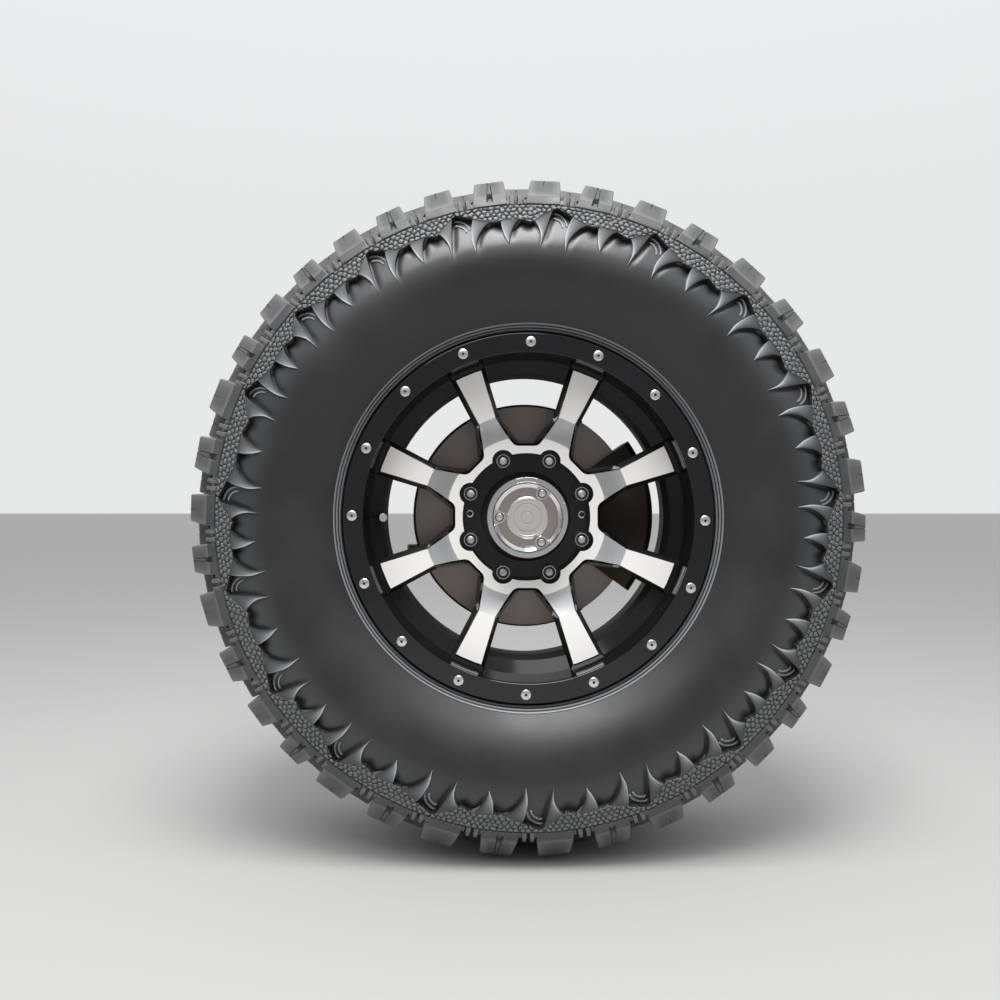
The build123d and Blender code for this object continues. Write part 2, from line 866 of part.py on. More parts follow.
def ball_stud_nuts():
    nuts = []
    for joint in ball_joints.values():
        seat = joint["eye"][1]
        blank = extrude(RegularPolygon(ball_nut_width / 2, 6, major_radius=False), ball_nut)
        slot = Pos(0, 0, ball_nut) * Box(2 * ball_nut_width, ball_nut_slot, 2 * ball_nut_slot)
        nut = blank - [Rot(0, 0, turn) * slot for turn in (0, 60, 120)]
        bore = pin(ball_stud_radius + press_gap, seat - 1, seat + ball_nut + 1)
        nuts.append(kingpin * Pos(0, 0, seat) * nut - bore)
    return Part() + nuts


def stub_shaft():
    """The outer shaft, with a fork for the universal joint on its inboard end."""
    top, root = cross_span / 2, cross_span / 2 - fork_ear
    heel, throat = kingpin_y - fork_neck - fork_base / 2, kingpin_y - fork_neck + fork_base / 2
    half = [(kingpin_y, root), (kingpin_y, top), (heel + fork_round, top), (heel, top - fork_round)]
    outline = [(throat, root), *half]
    outline += [(y, -z) for y, z in reversed(outline)]
    fork = extrude(Plane.YZ * make_face(Polyline(*outline, close=True)), fork_width / 2, both=True)
    for side in (-1, 1):
        place = Pos(0, kingpin_y, side * (cross_span - fork_ear) / 2)
        fork += place * Cylinder(fork_width / 2, fork_ear)
        fork -= place * Cylinder(cross_cap_radius + press_gap, fork_ear + 2)
    return fork + bar(shaft_radius, shaft_end_depth, kingpin_depth - fork_neck)


def joint_cross():
    """The cross of the universal joint with its four bearing caps."""
    half = cross_span / 2
    cap_start = half - fork_ear
    place = Pos(0, kingpin_y, 0)
    arms = place * Cylinder(cross_pin_radius, 2 * cap_start + 2)
    arms += place * Rot(0, 90, 0) * Cylinder(cross_pin_radius, 2 * cap_start + 2)
    for axis in (Rot(0, 0, 0), Rot(180, 0, 0), Rot(0, 90, 0), Rot(0, -90, 0)):
        arms += place * axis * Pos(0, 0, half - fork_ear / 2) * Cylinder(cross_cap_radius, fork_ear)
    return arms


def yoke_arms():
    """The plate of the C from eye to eye."""
    upper, lower = ball_joints["upper"]["eye"], ball_joints["lower"]["eye"]
    bend, corner = yoke_bend, yoke_throat_corner
    outer = [
        (yoke_nose, upper[1]),
        (-bend["upper_back"], upper[1]),
        (-yoke_back, upper[1] - yoke_slope["upper"]),
        (-yoke_back, lower[0] + yoke_slope["lower"]),
        (-bend["lower_back"], lower[0]),
        (yoke_nose, lower[0]),
    ]
    inner = [
        (yoke_nose, lower[1]),
        (-bend["throat"], lower[1]),
        (-yoke_throat, lower[1] + corner["lower"]),
        (-yoke_throat, upper[0] - corner["upper"]),
        (-bend["throat"], upper[0]),
        (yoke_nose, upper[0]),
    ]
    return slab(outer + inner, yoke_half_width)


def axle_yoke():
    """The forged C on the end of the axle tube."""
    mouth = kingpin_depth + socket_to_kingpin
    floor = mouth - socket_depth
    body = yoke_arms()
    for joint in ball_joints.values():
        body += pin(boss_radius, *joint["eye"])
    body += bar(tube_diameter / 2 + socket_wall, kingpin_depth + yoke_throat + socket_embed, mouth)
    body -= bar(tube_diameter / 2, floor, mouth + 1)
    body -= bar(shaft_hole_radius, kingpin_depth + yoke_throat - socket_embed, floor + 1)
    for joint in ball_joints.values():
        body -= pin(ball_stud_radius + press_gap, joint["eye"][0] - 1, joint["eye"][1] + 1)
    return body


nodes = {
    "axle_yoke": axle_yoke,
    "ball_studs": ball_studs,
    "ball_stud_nuts": ball_stud_nuts,
    "knuckle": knuckle,
    "ball_sockets": ball_sockets,
    "ball_boots": ball_boots,
    "spindle": spindle,
    "spindle_nuts": spindle_nuts,
    "dust_shield": dust_shield,
    "caliper": caliper,
    "caliper_pins": caliper_pins,
    "brake_pads": brake_pads,
    "wheel_hub": wheel_hub,
    "brake_disc": brake_disc,
    "lug_nuts": lug_nuts,
    "locking_hub": locking_hub,
    "locking_hub_cap": locking_hub_cap,
    "stub_shaft": stub_shaft,
    "joint_cross": joint_cross,
    "alloy_wheel": alloy_wheel,
    "bead_ring": bead_ring,
    "valve_stem": valve_stem,
    "valve_cap": valve_cap,
    "tyre": tyre,
}

os.makedirs("parts", exist_ok=True)
for name, make in nodes.items():
    export_step(make(), f"parts/{name}.step")
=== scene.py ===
from math import pi, radians

import bmesh
import bpy
import numpy as np
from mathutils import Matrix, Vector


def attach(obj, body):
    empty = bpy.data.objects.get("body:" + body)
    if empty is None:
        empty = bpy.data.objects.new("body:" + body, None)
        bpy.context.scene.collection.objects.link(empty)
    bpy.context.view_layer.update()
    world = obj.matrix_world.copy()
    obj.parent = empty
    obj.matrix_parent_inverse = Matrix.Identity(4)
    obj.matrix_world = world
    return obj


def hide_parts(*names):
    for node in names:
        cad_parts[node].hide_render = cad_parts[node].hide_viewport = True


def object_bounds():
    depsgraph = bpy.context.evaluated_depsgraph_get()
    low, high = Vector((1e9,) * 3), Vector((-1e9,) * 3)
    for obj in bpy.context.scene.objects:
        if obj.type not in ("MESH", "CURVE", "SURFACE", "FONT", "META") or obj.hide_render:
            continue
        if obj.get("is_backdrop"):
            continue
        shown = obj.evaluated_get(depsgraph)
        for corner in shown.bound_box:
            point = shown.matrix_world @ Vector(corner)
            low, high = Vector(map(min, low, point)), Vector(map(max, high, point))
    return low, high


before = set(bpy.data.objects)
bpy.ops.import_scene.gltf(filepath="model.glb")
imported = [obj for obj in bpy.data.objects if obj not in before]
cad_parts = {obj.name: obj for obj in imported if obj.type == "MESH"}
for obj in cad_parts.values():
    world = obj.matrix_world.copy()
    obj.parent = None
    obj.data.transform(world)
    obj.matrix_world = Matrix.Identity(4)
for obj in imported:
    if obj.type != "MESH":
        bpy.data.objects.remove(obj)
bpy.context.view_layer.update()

# The studio: a pale floor that the tyre stands on, a wide soft lamp above, a weaker one in front, and a
# camera level with the hub. Metal sees a room that is light above and behind the wheel, and dim in front.
floor_height = -0.442
floor_reach = 30.0
floor_colour, floor_roughness = (0.47, 0.47, 0.46), 0.9
dim_wall, light_wall = (0.34, 0.345, 0.355), (0.80, 0.805, 0.81)
wall_turn = (-0.2, 0.8)
ceiling_colour = (0.85, 0.855, 0.87)
ceiling_rise = (0.28, 0.55)
camera_place = (-0.036, -1.624, 0.023)
camera_lens = 33.3
lamps = {
    # name: place, target, size, watts
    "ceiling": ((0.0, -1.25, 1.9), (0.0, -0.35, 0.1), 1.1, 44.0),
    "front": ((-0.35, -2.2, 2.0), (0.0, -0.4, 0.2), 1.2, 25.0),
}


def step(tree, kind, **values):
    """A new node, with each value on its setting of that name, or else on its input of that name."""
    node = tree.nodes.new(kind)
    for name, value in values.items():
        if hasattr(node, name):
            setattr(node, name, value)
        else:
            node.inputs[name.replace("_", " ")].default_value = value
    return node


def join(tree, *links):
    """Links between nodes, each (node, output, node, input)."""
    for source, out, target, into in links:
        tree.links.new(source.outputs[out], target.inputs[into])


corners = [(x * floor_reach, y * floor_reach, floor_height) for x, y in ((-1, -1), (1, -1), (1, 1), (-1, 1))]
floor_mesh = bpy.data.meshes.new("floor")
floor_mesh.from_pydata(corners, [], [(0, 1, 2, 3)])
floor = bpy.data.objects.new("floor", floor_mesh)
bpy.context.scene.collection.objects.link(floor)
floor_paint = bpy.data.materials.new("floor_paint")
floor_paint.use_nodes = True
floor_shader = floor_paint.node_tree.nodes["Principled BSDF"]
floor_shader.inputs["Base Color"].default_value = (*floor_colour, 1)
floor_shader.inputs["Roughness"].default_value = floor_roughness
floor_mesh.materials.append(floor_paint)
floor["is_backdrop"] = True

room = bpy.data.worlds.new("room")
bpy.context.scene.world = room
room.use_nodes = True
air = room.node_tree
look = step(air, "ShaderNodeTexCoord")
split = step(air, "ShaderNodeSeparateXYZ")
beyond, above = [step(air, "ShaderNodeMapRange", interpolation_type="SMOOTHSTEP", From_Min=low, From_Max=high)
                 for low, high in (wall_turn, ceiling_rise)]
walls = step(air, "ShaderNodeMix", data_type="RGBA", A=(*dim_wall, 1), B=(*light_wall, 1))
shell = step(air, "ShaderNodeMix", data_type="RGBA", B=(*ceiling_colour, 1))
join(air, (look, "Generated", split, 0), (split, "Y", beyond, "Value"), (beyond, "Result", walls, "Factor"),
     (split, "Z", above, "Value"), (above, "Result", shell, "Factor"), (walls, "Result", shell, "A"),
     (shell, "Result", air.nodes["Background"], "Color"))

for name, (spot, target, size, watts) in lamps.items():
    lamp = bpy.data.lights.new(name, "AREA")
    lamp.shape = "SQUARE"
    lamp.size = size
    lamp.energy = watts
    holder = bpy.data.objects.new(name, lamp)
    holder.location = spot
    aim = Vector(target) - Vector(spot)
    holder.rotation_euler = aim.to_track_quat("-Z", "Y").to_euler()
    bpy.context.scene.collection.objects.link(holder)

camera_data = bpy.data.cameras.new("camera")
camera_data.lens = camera_lens
camera = bpy.data.objects.new("camera", camera_data)
camera.location = camera_place
camera.rotation_euler = (pi / 2, 0, 0)
bpy.context.scene.collection.objects.link(camera)
bpy.context.scene.camera = camera
bpy.context.scene.view_settings.view_transform = "Standard"

# The tyre's casing: one moulding of black rubber, a closed ring with beads, sidewalls and the floor of the
# tread. Between the claws its shoulder is dished, so that it swells like pillows there. Its colour carries
# painted light: a painted sheen that grows towards the shoulder and lies on the bead ribs, and painted shade
# in the ditches beside the claws, in the hollows and under the band.

# From here on pieces are measured in millimetres, with y along the axle and depths counted in from the lip of
# the wheel. Only the gaps that points are merged across and the depths of grain and rings are in metres.
lip_y = -454.0
centre_depth = 127.0
pitch_order = "MLLLSSSLLLLSLSLSSSM"
pitch_share = {"S": 17.3, "M": 18.9, "L": 20.3}
first_pitch = 5.2
casing_steps, wall_samples, edge_samples = 40, 48, 24
weld_gap = 1e-6
sidewall_line = [
    # radius, distance outboard of the tyre's centre plane
    (237.0, 115.0), (238.6, 118.2), (244.0, 122.8), (252.0, 129.0), (262.0, 136.2), (275.0, 144.0),
    (290.0, 150.6), (305.0, 155.0), (320.0, 157.1), (332.0, 157.2), (345.0, 155.8), (358.0, 153.4),
    (370.0, 150.8), (380.0, 148.9), (388.0, 147.6), (392.0, 146.6),
]
tread_floor = [(395.0, 141.0), (404.0, 117.0), (414.0, 92.0), (422.5, 66.0), (424.0, 40.0), (424.0, 0.0)]
bead_bore = [(216.2, 92.2), (216.2, 113.6), (234.0, 113.9), (237.0, 115.0), (238.2, 117.6)]
air_chamber = 398.0
bead_rib_starts = (238.6, 241.9, 245.2)
bead_rib_shape = ((0.0, 0.0), (0.6, 1.3), (2.0, 1.3), (2.6, 0.0))
wall_radii = np.concatenate([np.linspace(249, 334, 13), np.linspace(337, 387, 22)])
shoulder_ridge = [(388.4, 147.5), (389.0, 149.0), (390.2, 148.8), (390.8, 147.0)]
shoulder_end, shoulder_fade, shoulder_out = 392.0, 4.0, 140.0
pillow_from, pillow_run, pillow_deep, pillow_swell = 339.0, 42.0, 7.0, 1.4
ditch_off, ditch_wide, ditch_from, ditch_run, ditch_deep = 1.6, 3.0, 3.0, 14.0, 2.4
hollows = ((0.425, 0.045), (0.715, 0.05))
hollow_from, hollow_run, hollow_deep = 352.0, 14.0, 3.0
# The casing's painted light: a painted sheen over the pillows and a painted highlight on the bead ribs, with
# painted shade in the ditches, the hollows and under the band.
band_shade_from, band_shade_run = 0.4, 7.0
sheen_least, sheen_from, sheen_run, band_shade_above = 0.11, 325.0, 26.0, 340.0
ditch_painted_shade, hollow_painted_shade, pillow_sheen, bead_rib_highlight = 0.92, 0.85, 0.15, 0.88
claw_edges = [
    # one edge from root to tip, then the other, as (share of the pitch, radius)
    ([(0.172, 379.0), (0.130, 364.0), (0.107, 348.0), (0.130, 330.5)],
     [(0.395, 371.0), (0.270, 363.5), (0.172, 349.0), (0.136, 330.5)]),
    ([(0.432, 373.0), (0.437, 362.0), (0.460, 350.0), (0.505, 338.5)],
     [(0.665, 371.0), (0.590, 365.0), (0.543, 354.0), (0.511, 338.5)]),
    ([(0.745, 369.0), (0.803, 362.5), (0.845, 350.0), (0.838, 331.5)],
     [(0.975, 384.0), (0.932, 368.5), (0.891, 350.5), (0.844, 331.5)]),
]
band_low = np.array([
    # the scaled band's lower edge, as (share of the pitch, radius)
    (0.0, 385.6), (0.10, 380.0), (0.187, 375.0), (0.34, 367.8), (0.42, 368.6), (0.52, 370.4), (0.606, 370.4),
    (0.68, 368.0), (0.745, 365.8), (0.80, 369.0), (0.846, 374.5), (0.93, 381.0), (1.0, 385.6),
])


def smooth_line(points, samples):
    """A Catmull-Rom curve: each span is the cubic through its ends whose slopes join the points beside it."""
    p = np.asarray(points, float)
    p = np.vstack([2 * p[0] - p[1], p, 2 * p[-1] - p[-2]])
    along = np.linspace(0, len(p) - 3, samples)
    i = np.minimum(along.astype(int), len(p) - 4)
    f = (along - i)[:, None]
    a, b, c, d = p[i], p[i + 1], p[i + 2], p[i + 3]
    return 0.5 * (2 * b + (c - a) * f + (2 * a - 5 * b + 4 * c - d) * f**2 + (3 * b - a - 3 * c + d) * f**3)


def around_axis(radius, angle, depth):
    """Points from a radius, a clock angle in degrees seen from outside, and a depth in from the lip."""
    turn = np.radians(angle)
    radius, turn, depth = np.broadcast_arrays(radius, turn, depth)
    return np.stack([radius * np.sin(turn), lip_y + depth, radius * np.cos(turn)], axis=-1)


def woven(name, grids, join_rows=False, join_columns=False, shut=False, sharp=32.0, relief=None):
    """One mesh of quads from grids of points, shaped (grids, rows, columns, 3).

    join_rows and join_columns close a grid on itself, and shut covers its open border with one face below.
    relief, from 0 to 1 at each point, is kept as an attribute that a material can read.
    """
    grids = np.asarray(grids, float)
    count, rows, columns, _ = grids.shape
    index = np.arange(count * rows * columns).reshape(count, rows, columns)
    ring = index
    if join_rows:
        ring = np.concatenate([ring, ring[:, :1]], axis=1)
    if join_columns:
        ring = np.concatenate([ring, ring[:, :, :1]], axis=2)
    quads = np.stack([ring[:, :-1, :-1], ring[:, 1:, :-1], ring[:, 1:, 1:], ring[:, :-1, 1:]], axis=-1)
    faces = quads.reshape(-1, 4).tolist()
    if shut:
        border = [index[:, 0, :], index[:, 1:-1, -1], index[:, -1, ::-1], index[:, -2:0:-1, 0]]
        faces += np.concatenate(border, axis=1).tolist()
    mesh = bpy.data.meshes.new(name)
    mesh.from_pydata((grids.reshape(-1, 3) * 0.001).tolist(), [], faces)
    if relief is not None:
        relief = np.broadcast_to(relief, grids.shape[:3]).astype(np.float32)
        mesh.attributes.new("relief", "FLOAT", "POINT").data.foreach_set("value", relief.ravel())
    whole = bmesh.new()
    whole.from_mesh(mesh)
    bmesh.ops.remove_doubles(whole, verts=whole.verts, dist=weld_gap)
    bmesh.ops.recalc_face_normals(whole, faces=whole.faces)
    whole.to_mesh(mesh)
    whole.free()
    mesh.shade_smooth()
    mesh.set_sharp_from_angle(angle=radians(sharp))
    piece = bpy.data.objects.new(name, mesh)
    bpy.context.scene.collection.objects.link(piece)
    return piece


def wall_out(radius):
    """How far outboard of the centre plane the sidewall lies at a radius."""
    return np.interp(radius, wall[:, 0], wall[:, 1])


def pillow_depth(radius):
    """How deep the shoulder is dished at a radius: a power of the share of the way from the pillows' foot."""
    return pillow_deep * np.clip((radius - pillow_from) / pillow_run, 0, 1) ** pillow_swell


def pitch_steps(steps):
    """So many even steps to each pitch: their places, counted on in pitches, and their clock angles."""
    share = np.concatenate([np.arange(steps) / steps + n for n in range(len(spans))])
    return share, np.interp(share, np.arange(len(spans) + 1), np.append(starts, starts[0] + 360))


spans = np.array([pitch_share[size] for size in pitch_order])
spans = 360 * spans / spans.sum()
starts = first_pitch + np.concatenate([[0], np.cumsum(spans)[:-1]])
wall = smooth_line(sidewall_line, wall_samples)
bead_ribs = [(start + along, high) for start in bead_rib_starts for along, high in bead_rib_shape]
rib_wall = [(radius, wall_out(radius) + high) for radius, high in bead_ribs]
wall_rows = np.stack([wall_radii, wall_out(wall_radii)], axis=1)
half = np.vstack([bead_bore, rib_wall, wall_rows, shoulder_ridge, tread_floor])
reach, out = half.T[:, None, :]
share, turn = pitch_steps(casing_steps)
in_pitch = (share % 1)[:, None]
pitch_arc = np.radians(spans[share.astype(int)])[:, None]
ditch = np.zeros((len(share), len(half)))
for _, edge in claw_edges:
    edge = smooth_line(edge, edge_samples)[::-1]
    line = np.interp(reach, edge[:, 1], edge[:, 0])
    for shift in (-1, 0, 1):
        gap = (in_pitch + shift - line) * pitch_arc * reach
        near = np.exp(-((gap - ditch_off) / ditch_wide) ** 2)
        ditch = np.maximum(ditch, near * np.clip((reach - edge[0, 1] - ditch_from) / ditch_run, 0, 1))
hollow = sum(np.exp(-((in_pitch - middle) / wide) ** 2) for middle, wide in hollows)
hollow = hollow * np.clip((reach - hollow_from) / hollow_run, 0, 1)
on_wall = np.clip((shoulder_end - reach) / shoulder_fade, 0, 1) * (out > shoulder_out)
depth = (pillow_depth(reach) + ditch_deep * ditch + hollow_deep * hollow) * on_wall
# Painted light on the casing, kept as its relief: a painted sheen that grows towards the shoulder, darkened
# as painted shade in the ditches, in the hollows and below the band, and a painted highlight on the bead
# ribs.
below_band = np.interp(in_pitch, band_low[:, 0], band_low[:, 1]) - band_shade_from - reach
casing_painted_light = sheen_least + (1 - sheen_least) * np.clip((reach - sheen_from) / sheen_run, 0, 1)
casing_painted_light = casing_painted_light * (1 - ditch_painted_shade * ditch) * (1 - hollow_painted_shade * np.minimum(hollow, 1))
casing_painted_light = np.where(reach > band_shade_above, casing_painted_light * np.clip(below_band / band_shade_run, 0, 1), casing_painted_light)
on_bead_rib = np.isin(half[:, 0], [radius for radius, high in bead_ribs if high > 0])
casing_painted_light = pillow_sheen * casing_painted_light + bead_rib_highlight * on_bead_rib
outer_side = around_axis(reach, turn[:, None], centre_depth - (out - depth))
inner_side = around_axis(reach, turn[:, None], centre_depth + (out - depth))[:, -2::-1]
chamber = [around_axis(air_chamber, turn[:, None], centre_depth + side * bead_bore[0][1]) for side in (1, -1)]
section = np.concatenate([outer_side, inner_side, *chamber], axis=1)
casing_painted_light = np.concatenate([casing_painted_light, casing_painted_light[:, -2::-1], np.zeros((len(share), 2))], axis=1)
casing = woven("tyre_casing", section[None], join_rows=True, join_columns=True, sharp=50, relief=casing_painted_light[None])


def group(name, inputs, outputs):
    """An empty node group with its sockets, each a name, a kind and a starting value."""
    tree = bpy.data.node_groups.new(name, "ShaderNodeTree")
    for title, kind, value in inputs:
        socket = tree.interface.new_socket(title, in_out="INPUT", socket_type=kind)
        socket.default_value = value
    for title, kind in outputs:
        tree.interface.new_socket(title, in_out="OUTPUT", socket_type=kind)
    return tree, tree.nodes.new("NodeGroupInput"), tree.nodes.new("NodeGroupOutput")


def surface_skin():
    """The skin that cast, forged, painted and moulded surfaces share.

    It has cloudy patches of a second colour, a roughness that wanders with them, and a fine raised grain.
    """
    tree, given, result = group("surface_skin", [
        ("Base", "NodeSocketColor", (0.5, 0.5, 0.5, 1)), ("Patch", "NodeSocketColor", (0.4, 0.4, 0.4, 1)),
        ("Patch Amount", "NodeSocketFloat", 0.5), ("Patch Scale", "NodeSocketFloat", 20.0),
        ("Roughness", "NodeSocketFloat", 0.5), ("Roughness Swing", "NodeSocketFloat", 0.1),
        ("Grain Scale", "NodeSocketFloat", 900.0), ("Grain Depth", "NodeSocketFloat", 0.0002),
    ], [("Color", "NodeSocketColor"), ("Roughness", "NodeSocketFloat"), ("Normal", "NodeSocketVector")])
    place = step(tree, "ShaderNodeTexCoord")
    cloud = step(tree, "ShaderNodeTexNoise", Detail=5.0)
    grain = step(tree, "ShaderNodeTexNoise", Detail=2.0)
    spread = step(tree, "ShaderNodeMapRange", From_Min=0.38, From_Max=0.66)
    amount = step(tree, "ShaderNodeMath", operation="MULTIPLY")
    blend = step(tree, "ShaderNodeMix", data_type="RGBA")
    centred = step(tree, "ShaderNodeMath", operation="SUBTRACT")
    centred.inputs[1].default_value = 0.5
    swing = step(tree, "ShaderNodeMath", operation="MULTIPLY_ADD")
    lift = step(tree, "ShaderNodeBump", Strength=1.0)
    join(tree, (place, "Object", cloud, "Vector"), (given, "Patch Scale", cloud, "Scale"),
         (place, "Object", grain, "Vector"), (given, "Grain Scale", grain, "Scale"),
         (cloud, "Fac", spread, "Value"), (spread, "Result", amount, 0), (given, "Patch Amount", amount, 1),
         (amount, 0, blend, "Factor"), (given, "Base", blend, "A"), (given, "Patch", blend, "B"),
         (blend, "Result", result, "Color"), (spread, "Result", centred, 0), (centred, 0, swing, 0),
         (given, "Roughness Swing", swing, 1), (given, "Roughness", swing, 2),
         (swing, 0, result, "Roughness"), (grain, "Fac", lift, "Height"),
         (given, "Grain Depth", lift, "Distance"), (lift, "Normal", result, "Normal"))
    return tree


def dust_and_painted_light():
    """Painted light on rubber, with dust on the tread: greyer and smoother where the piece's own relief
    attribute is high.
    """
    tree, given, result = group("dust_and_painted_light", [
        ("Color", "NodeSocketColor", (0.02, 0.02, 0.02, 1)), ("Edge", "NodeSocketColor", (0.2, 0.2, 0.2, 1)),
        ("Edge Amount", "NodeSocketFloat", 1.0), ("Roughness", "NodeSocketFloat", 0.5),
        ("Smooth From", "NodeSocketFloat", 1.0), ("Smooth Share", "NodeSocketFloat", 1.0),
    ], [("Color", "NodeSocketColor"), ("Roughness", "NodeSocketFloat")])
    relief = step(tree, "ShaderNodeAttribute", attribute_name="relief")
    strength = step(tree, "ShaderNodeMath", operation="MULTIPLY")
    edge = step(tree, "ShaderNodeMix", data_type="RGBA")
    smoother = step(tree, "ShaderNodeMapRange", To_Min=1.0)
    left = step(tree, "ShaderNodeMath", operation="MULTIPLY")
    join(tree, (relief, "Fac", strength, 0), (given, "Edge Amount", strength, 1),
         (strength, 0, edge, "Factor"), (given, "Color", edge, "A"), (given, "Edge", edge, "B"),
         (edge, "Result", result, "Color"), (relief, "Fac", smoother, "Value"),
         (given, "Smooth From", smoother, "From Max"), (given, "Smooth Share", smoother, "To Max"),
         (smoother, "Result", left, 0), (given, "Roughness", left, 1), (left, 0, result, "Roughness"))
    return tree


def skinned(name, metal=0.0, specular=0.5, **values):
    """A material whose colour, roughness and normal come from the shared skin with its own values."""
    paint = bpy.data.materials.new(name)
    paint.use_nodes = True
    tree = paint.node_tree
    shader = tree.nodes["Principled BSDF"]
    shader.inputs["Metallic"].default_value = metal
    shader.inputs["Specular IOR Level"].default_value = specular
    for title in ("Base", "Patch"):
        values[title] = (*values[title], 1)
    cover = step(tree, "ShaderNodeGroup", node_tree=skin, **values)
    join(tree, (cover, "Color", shader, "Base Color"), (cover, "Roughness", shader, "Roughness"),
         (cover, "Normal", shader, "Normal"))
    return paint


def rubber(name, edge, amount=1.0, smooth_from=1.0, smooth_share=1.0, **values):
    """A skinned rubber with the painted light of its relief attribute, and on the tread its dust, between its
    skin and its shader.
    """
    paint = skinned(name, **values)
    tree = paint.node_tree
    shader = tree.nodes["Principled BSDF"]
    painted_light_node = step(tree, "ShaderNodeGroup", node_tree=painted_light_and_dust, Edge=(*edge, 1), Edge_Amount=amount,
                Smooth_From=smooth_from, Smooth_Share=smooth_share)
    for socket, value in (("Base Color", "Color"), ("Roughness", "Roughness")):
        under = shader.inputs[socket].links[0]
        join(tree, (under.from_node, under.from_socket.name, painted_light_node, value), (painted_light_node, value, shader, socket))
    return paint


def on_tyre(piece, paint):
    """A part of the tyre, in its rubber: it turns with the wheel and stands for the tyre's solid."""
    piece.data.materials.append(paint)
    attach(piece, "wheel")
    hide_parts("tyre")


skin = surface_skin()
painted_light_and_dust = dust_and_painted_light()
wall_mix = dict(specular=0.6, Base=(0.004, 0.004, 0.0045), Patch=(0.014, 0.014, 0.014), Patch_Amount=0.7,
                Patch_Scale=9.0, Roughness=0.47, Roughness_Swing=0.12, Grain_Scale=1400.0,
                Grain_Depth=0.00012)
# The wall rubber's edge tone is the colour of its painted sheen and highlights, and the rubber is smoother
# where they lie.
wall_rubber = rubber("wall_rubber", (0.235, 0.243, 0.253), smooth_from=0.13, smooth_share=0.76, **wall_mix)
on_tyre(casing, wall_rubber)

# The shoulder lugs: two to a pitch on each side, moulded with the casing in the tread's own rubber and sunk
# a little into it. Each is flat on top, with a bevelled face down over the shoulder, and every second one is
# notched and sliced there.
tyre_y = lip_y + centre_depth
lug_places = (0.35, 0.86)
lug_half = 21.8
lug_foot, lug_sunk, lug_edge = 3.0, 2.0, 1.3
lug_top_dust_and_highlight, lug_side_dust_and_highlight, lug_crease_dust_and_highlight = 0.25, 1.0, 0.9
below_shoulder = (386.0, 148.0)
slice_lines = np.array([3.7, 3.9, 4.7, 4.9]) / lug_half
slice_deep, notch_deep, notch_in = 2.2, 5.0, 3.0
slice_rows, slice_columns = slice(2, 12), [6, 10]
notch = (slice(8, 12), slice(6, 11))
lug_flank = np.array([0.5, 0.94, 1.0, 1.0])
lug_columns = np.concatenate([-lug_flank[::-1], -slice_lines[::-1], [0.0], slice_lines, lug_flank])
lug_rows = np.array([
    # distance outboard, radius at the top, slant of the leading flank
    (64.0, 420.0, 6.0), (65.6, 438.6, 6.0), (67.2, 440.0, 6.0), (90.0, 437.6, 6.0), (113.6, 431.6, 6.0),
    (116.6, 429.6, 5.8), (129.0, 418.2, 3.6), (138.6, 409.2, 2.4), (139.2, 408.6, 2.4), (145.6, 402.4, 1.4),
    (146.6, 401.0, 1.2), (148.3, 396.4, 0.8), (148.6, 395.6, 0.8), (149.6, 392.4, 0.4), (149.8, 391.2, 0.2),
    (147.4, 388.0, 0.0),
])


def on_tread(across, height, outboard, side, angle):
    """Points of a tread part: across along the tangent at a clock angle, height along its radius."""
    tilt = np.radians(angle)
    across, height, outboard = np.broadcast_arrays(across, height, outboard)
    return np.stack([across * np.cos(tilt) + height * np.sin(tilt), tyre_y - side * outboard,
                     height * np.cos(tilt) - across * np.sin(tilt)], axis=-1)


floor_line = np.array(tread_floor[::-1] + [sidewall_line[-1], below_shoulder])
lug_middles = (starts[:, None] + np.array(lug_places) * spans[:, None]).ravel()
lug_sizes = np.repeat(spans / spans.mean(), len(lug_places))
lugs = []
for side in (1, -1):
    for number, (middle, size) in enumerate(zip(lug_middles, lug_sizes)):
        out, top, slant = lug_rows.T[:, :, None]
        across = lug_half * size * lug_columns[None, :] + np.where(lug_columns < 0, slant, 0)
        across[:, 0] -= lug_foot
        across[:, -1] += lug_foot
        height = np.broadcast_to(top, across.shape).copy()
        outboard = np.broadcast_to(out, across.shape).copy()
        bottom = np.interp(-out, -floor_line[:, 1], floor_line[:, 0]) - lug_sunk
        height[:, [0, -1]] = np.minimum(bottom, top)
        height[1:-1, [1, -2]] -= lug_edge
        if number % 2 == 0:
            height[slice_rows, slice_columns] -= slice_deep
            height[notch] -= notch_deep
            outboard[notch] -= notch_in
        lugs.append(on_tread(across, height, outboard, side, middle))
# The lugs' relief: dust together with a painted highlight, strongest on the edges and creases, lighter on the
# tops, none on the foot and below the shoulder.
lug_dust_and_highlight = np.full((len(lug_rows), len(lug_columns)), lug_top_dust_and_highlight)
lug_dust_and_highlight[1:-1, [1, 2, -3, -2]] = lug_side_dust_and_highlight
lug_dust_and_highlight[[1, 2, 4, 9]] = lug_crease_dust_and_highlight
lug_dust_and_highlight[10:] = 0.0
lug_dust_and_highlight[0] = 0.0
lug_dust_and_highlight[:, [0, -1]] = 0.0
shoulder_lugs = woven("tyre_lugs", np.array(lugs), shut=True, sharp=13, relief=lug_dust_and_highlight)
# The tread rubber's edge tone is the colour of its dust and painted highlight.
tread_rubber = rubber("tread_rubber", (0.21, 0.21, 0.21), amount=0.5, specular=0.9,
                      Base=(0.028, 0.029, 0.031), Patch=(0.056, 0.056, 0.055), Patch_Amount=0.7,
                      Patch_Scale=30.0, Roughness=0.55, Roughness_Swing=0.15)
on_tyre(shoulder_lugs, tread_rubber)

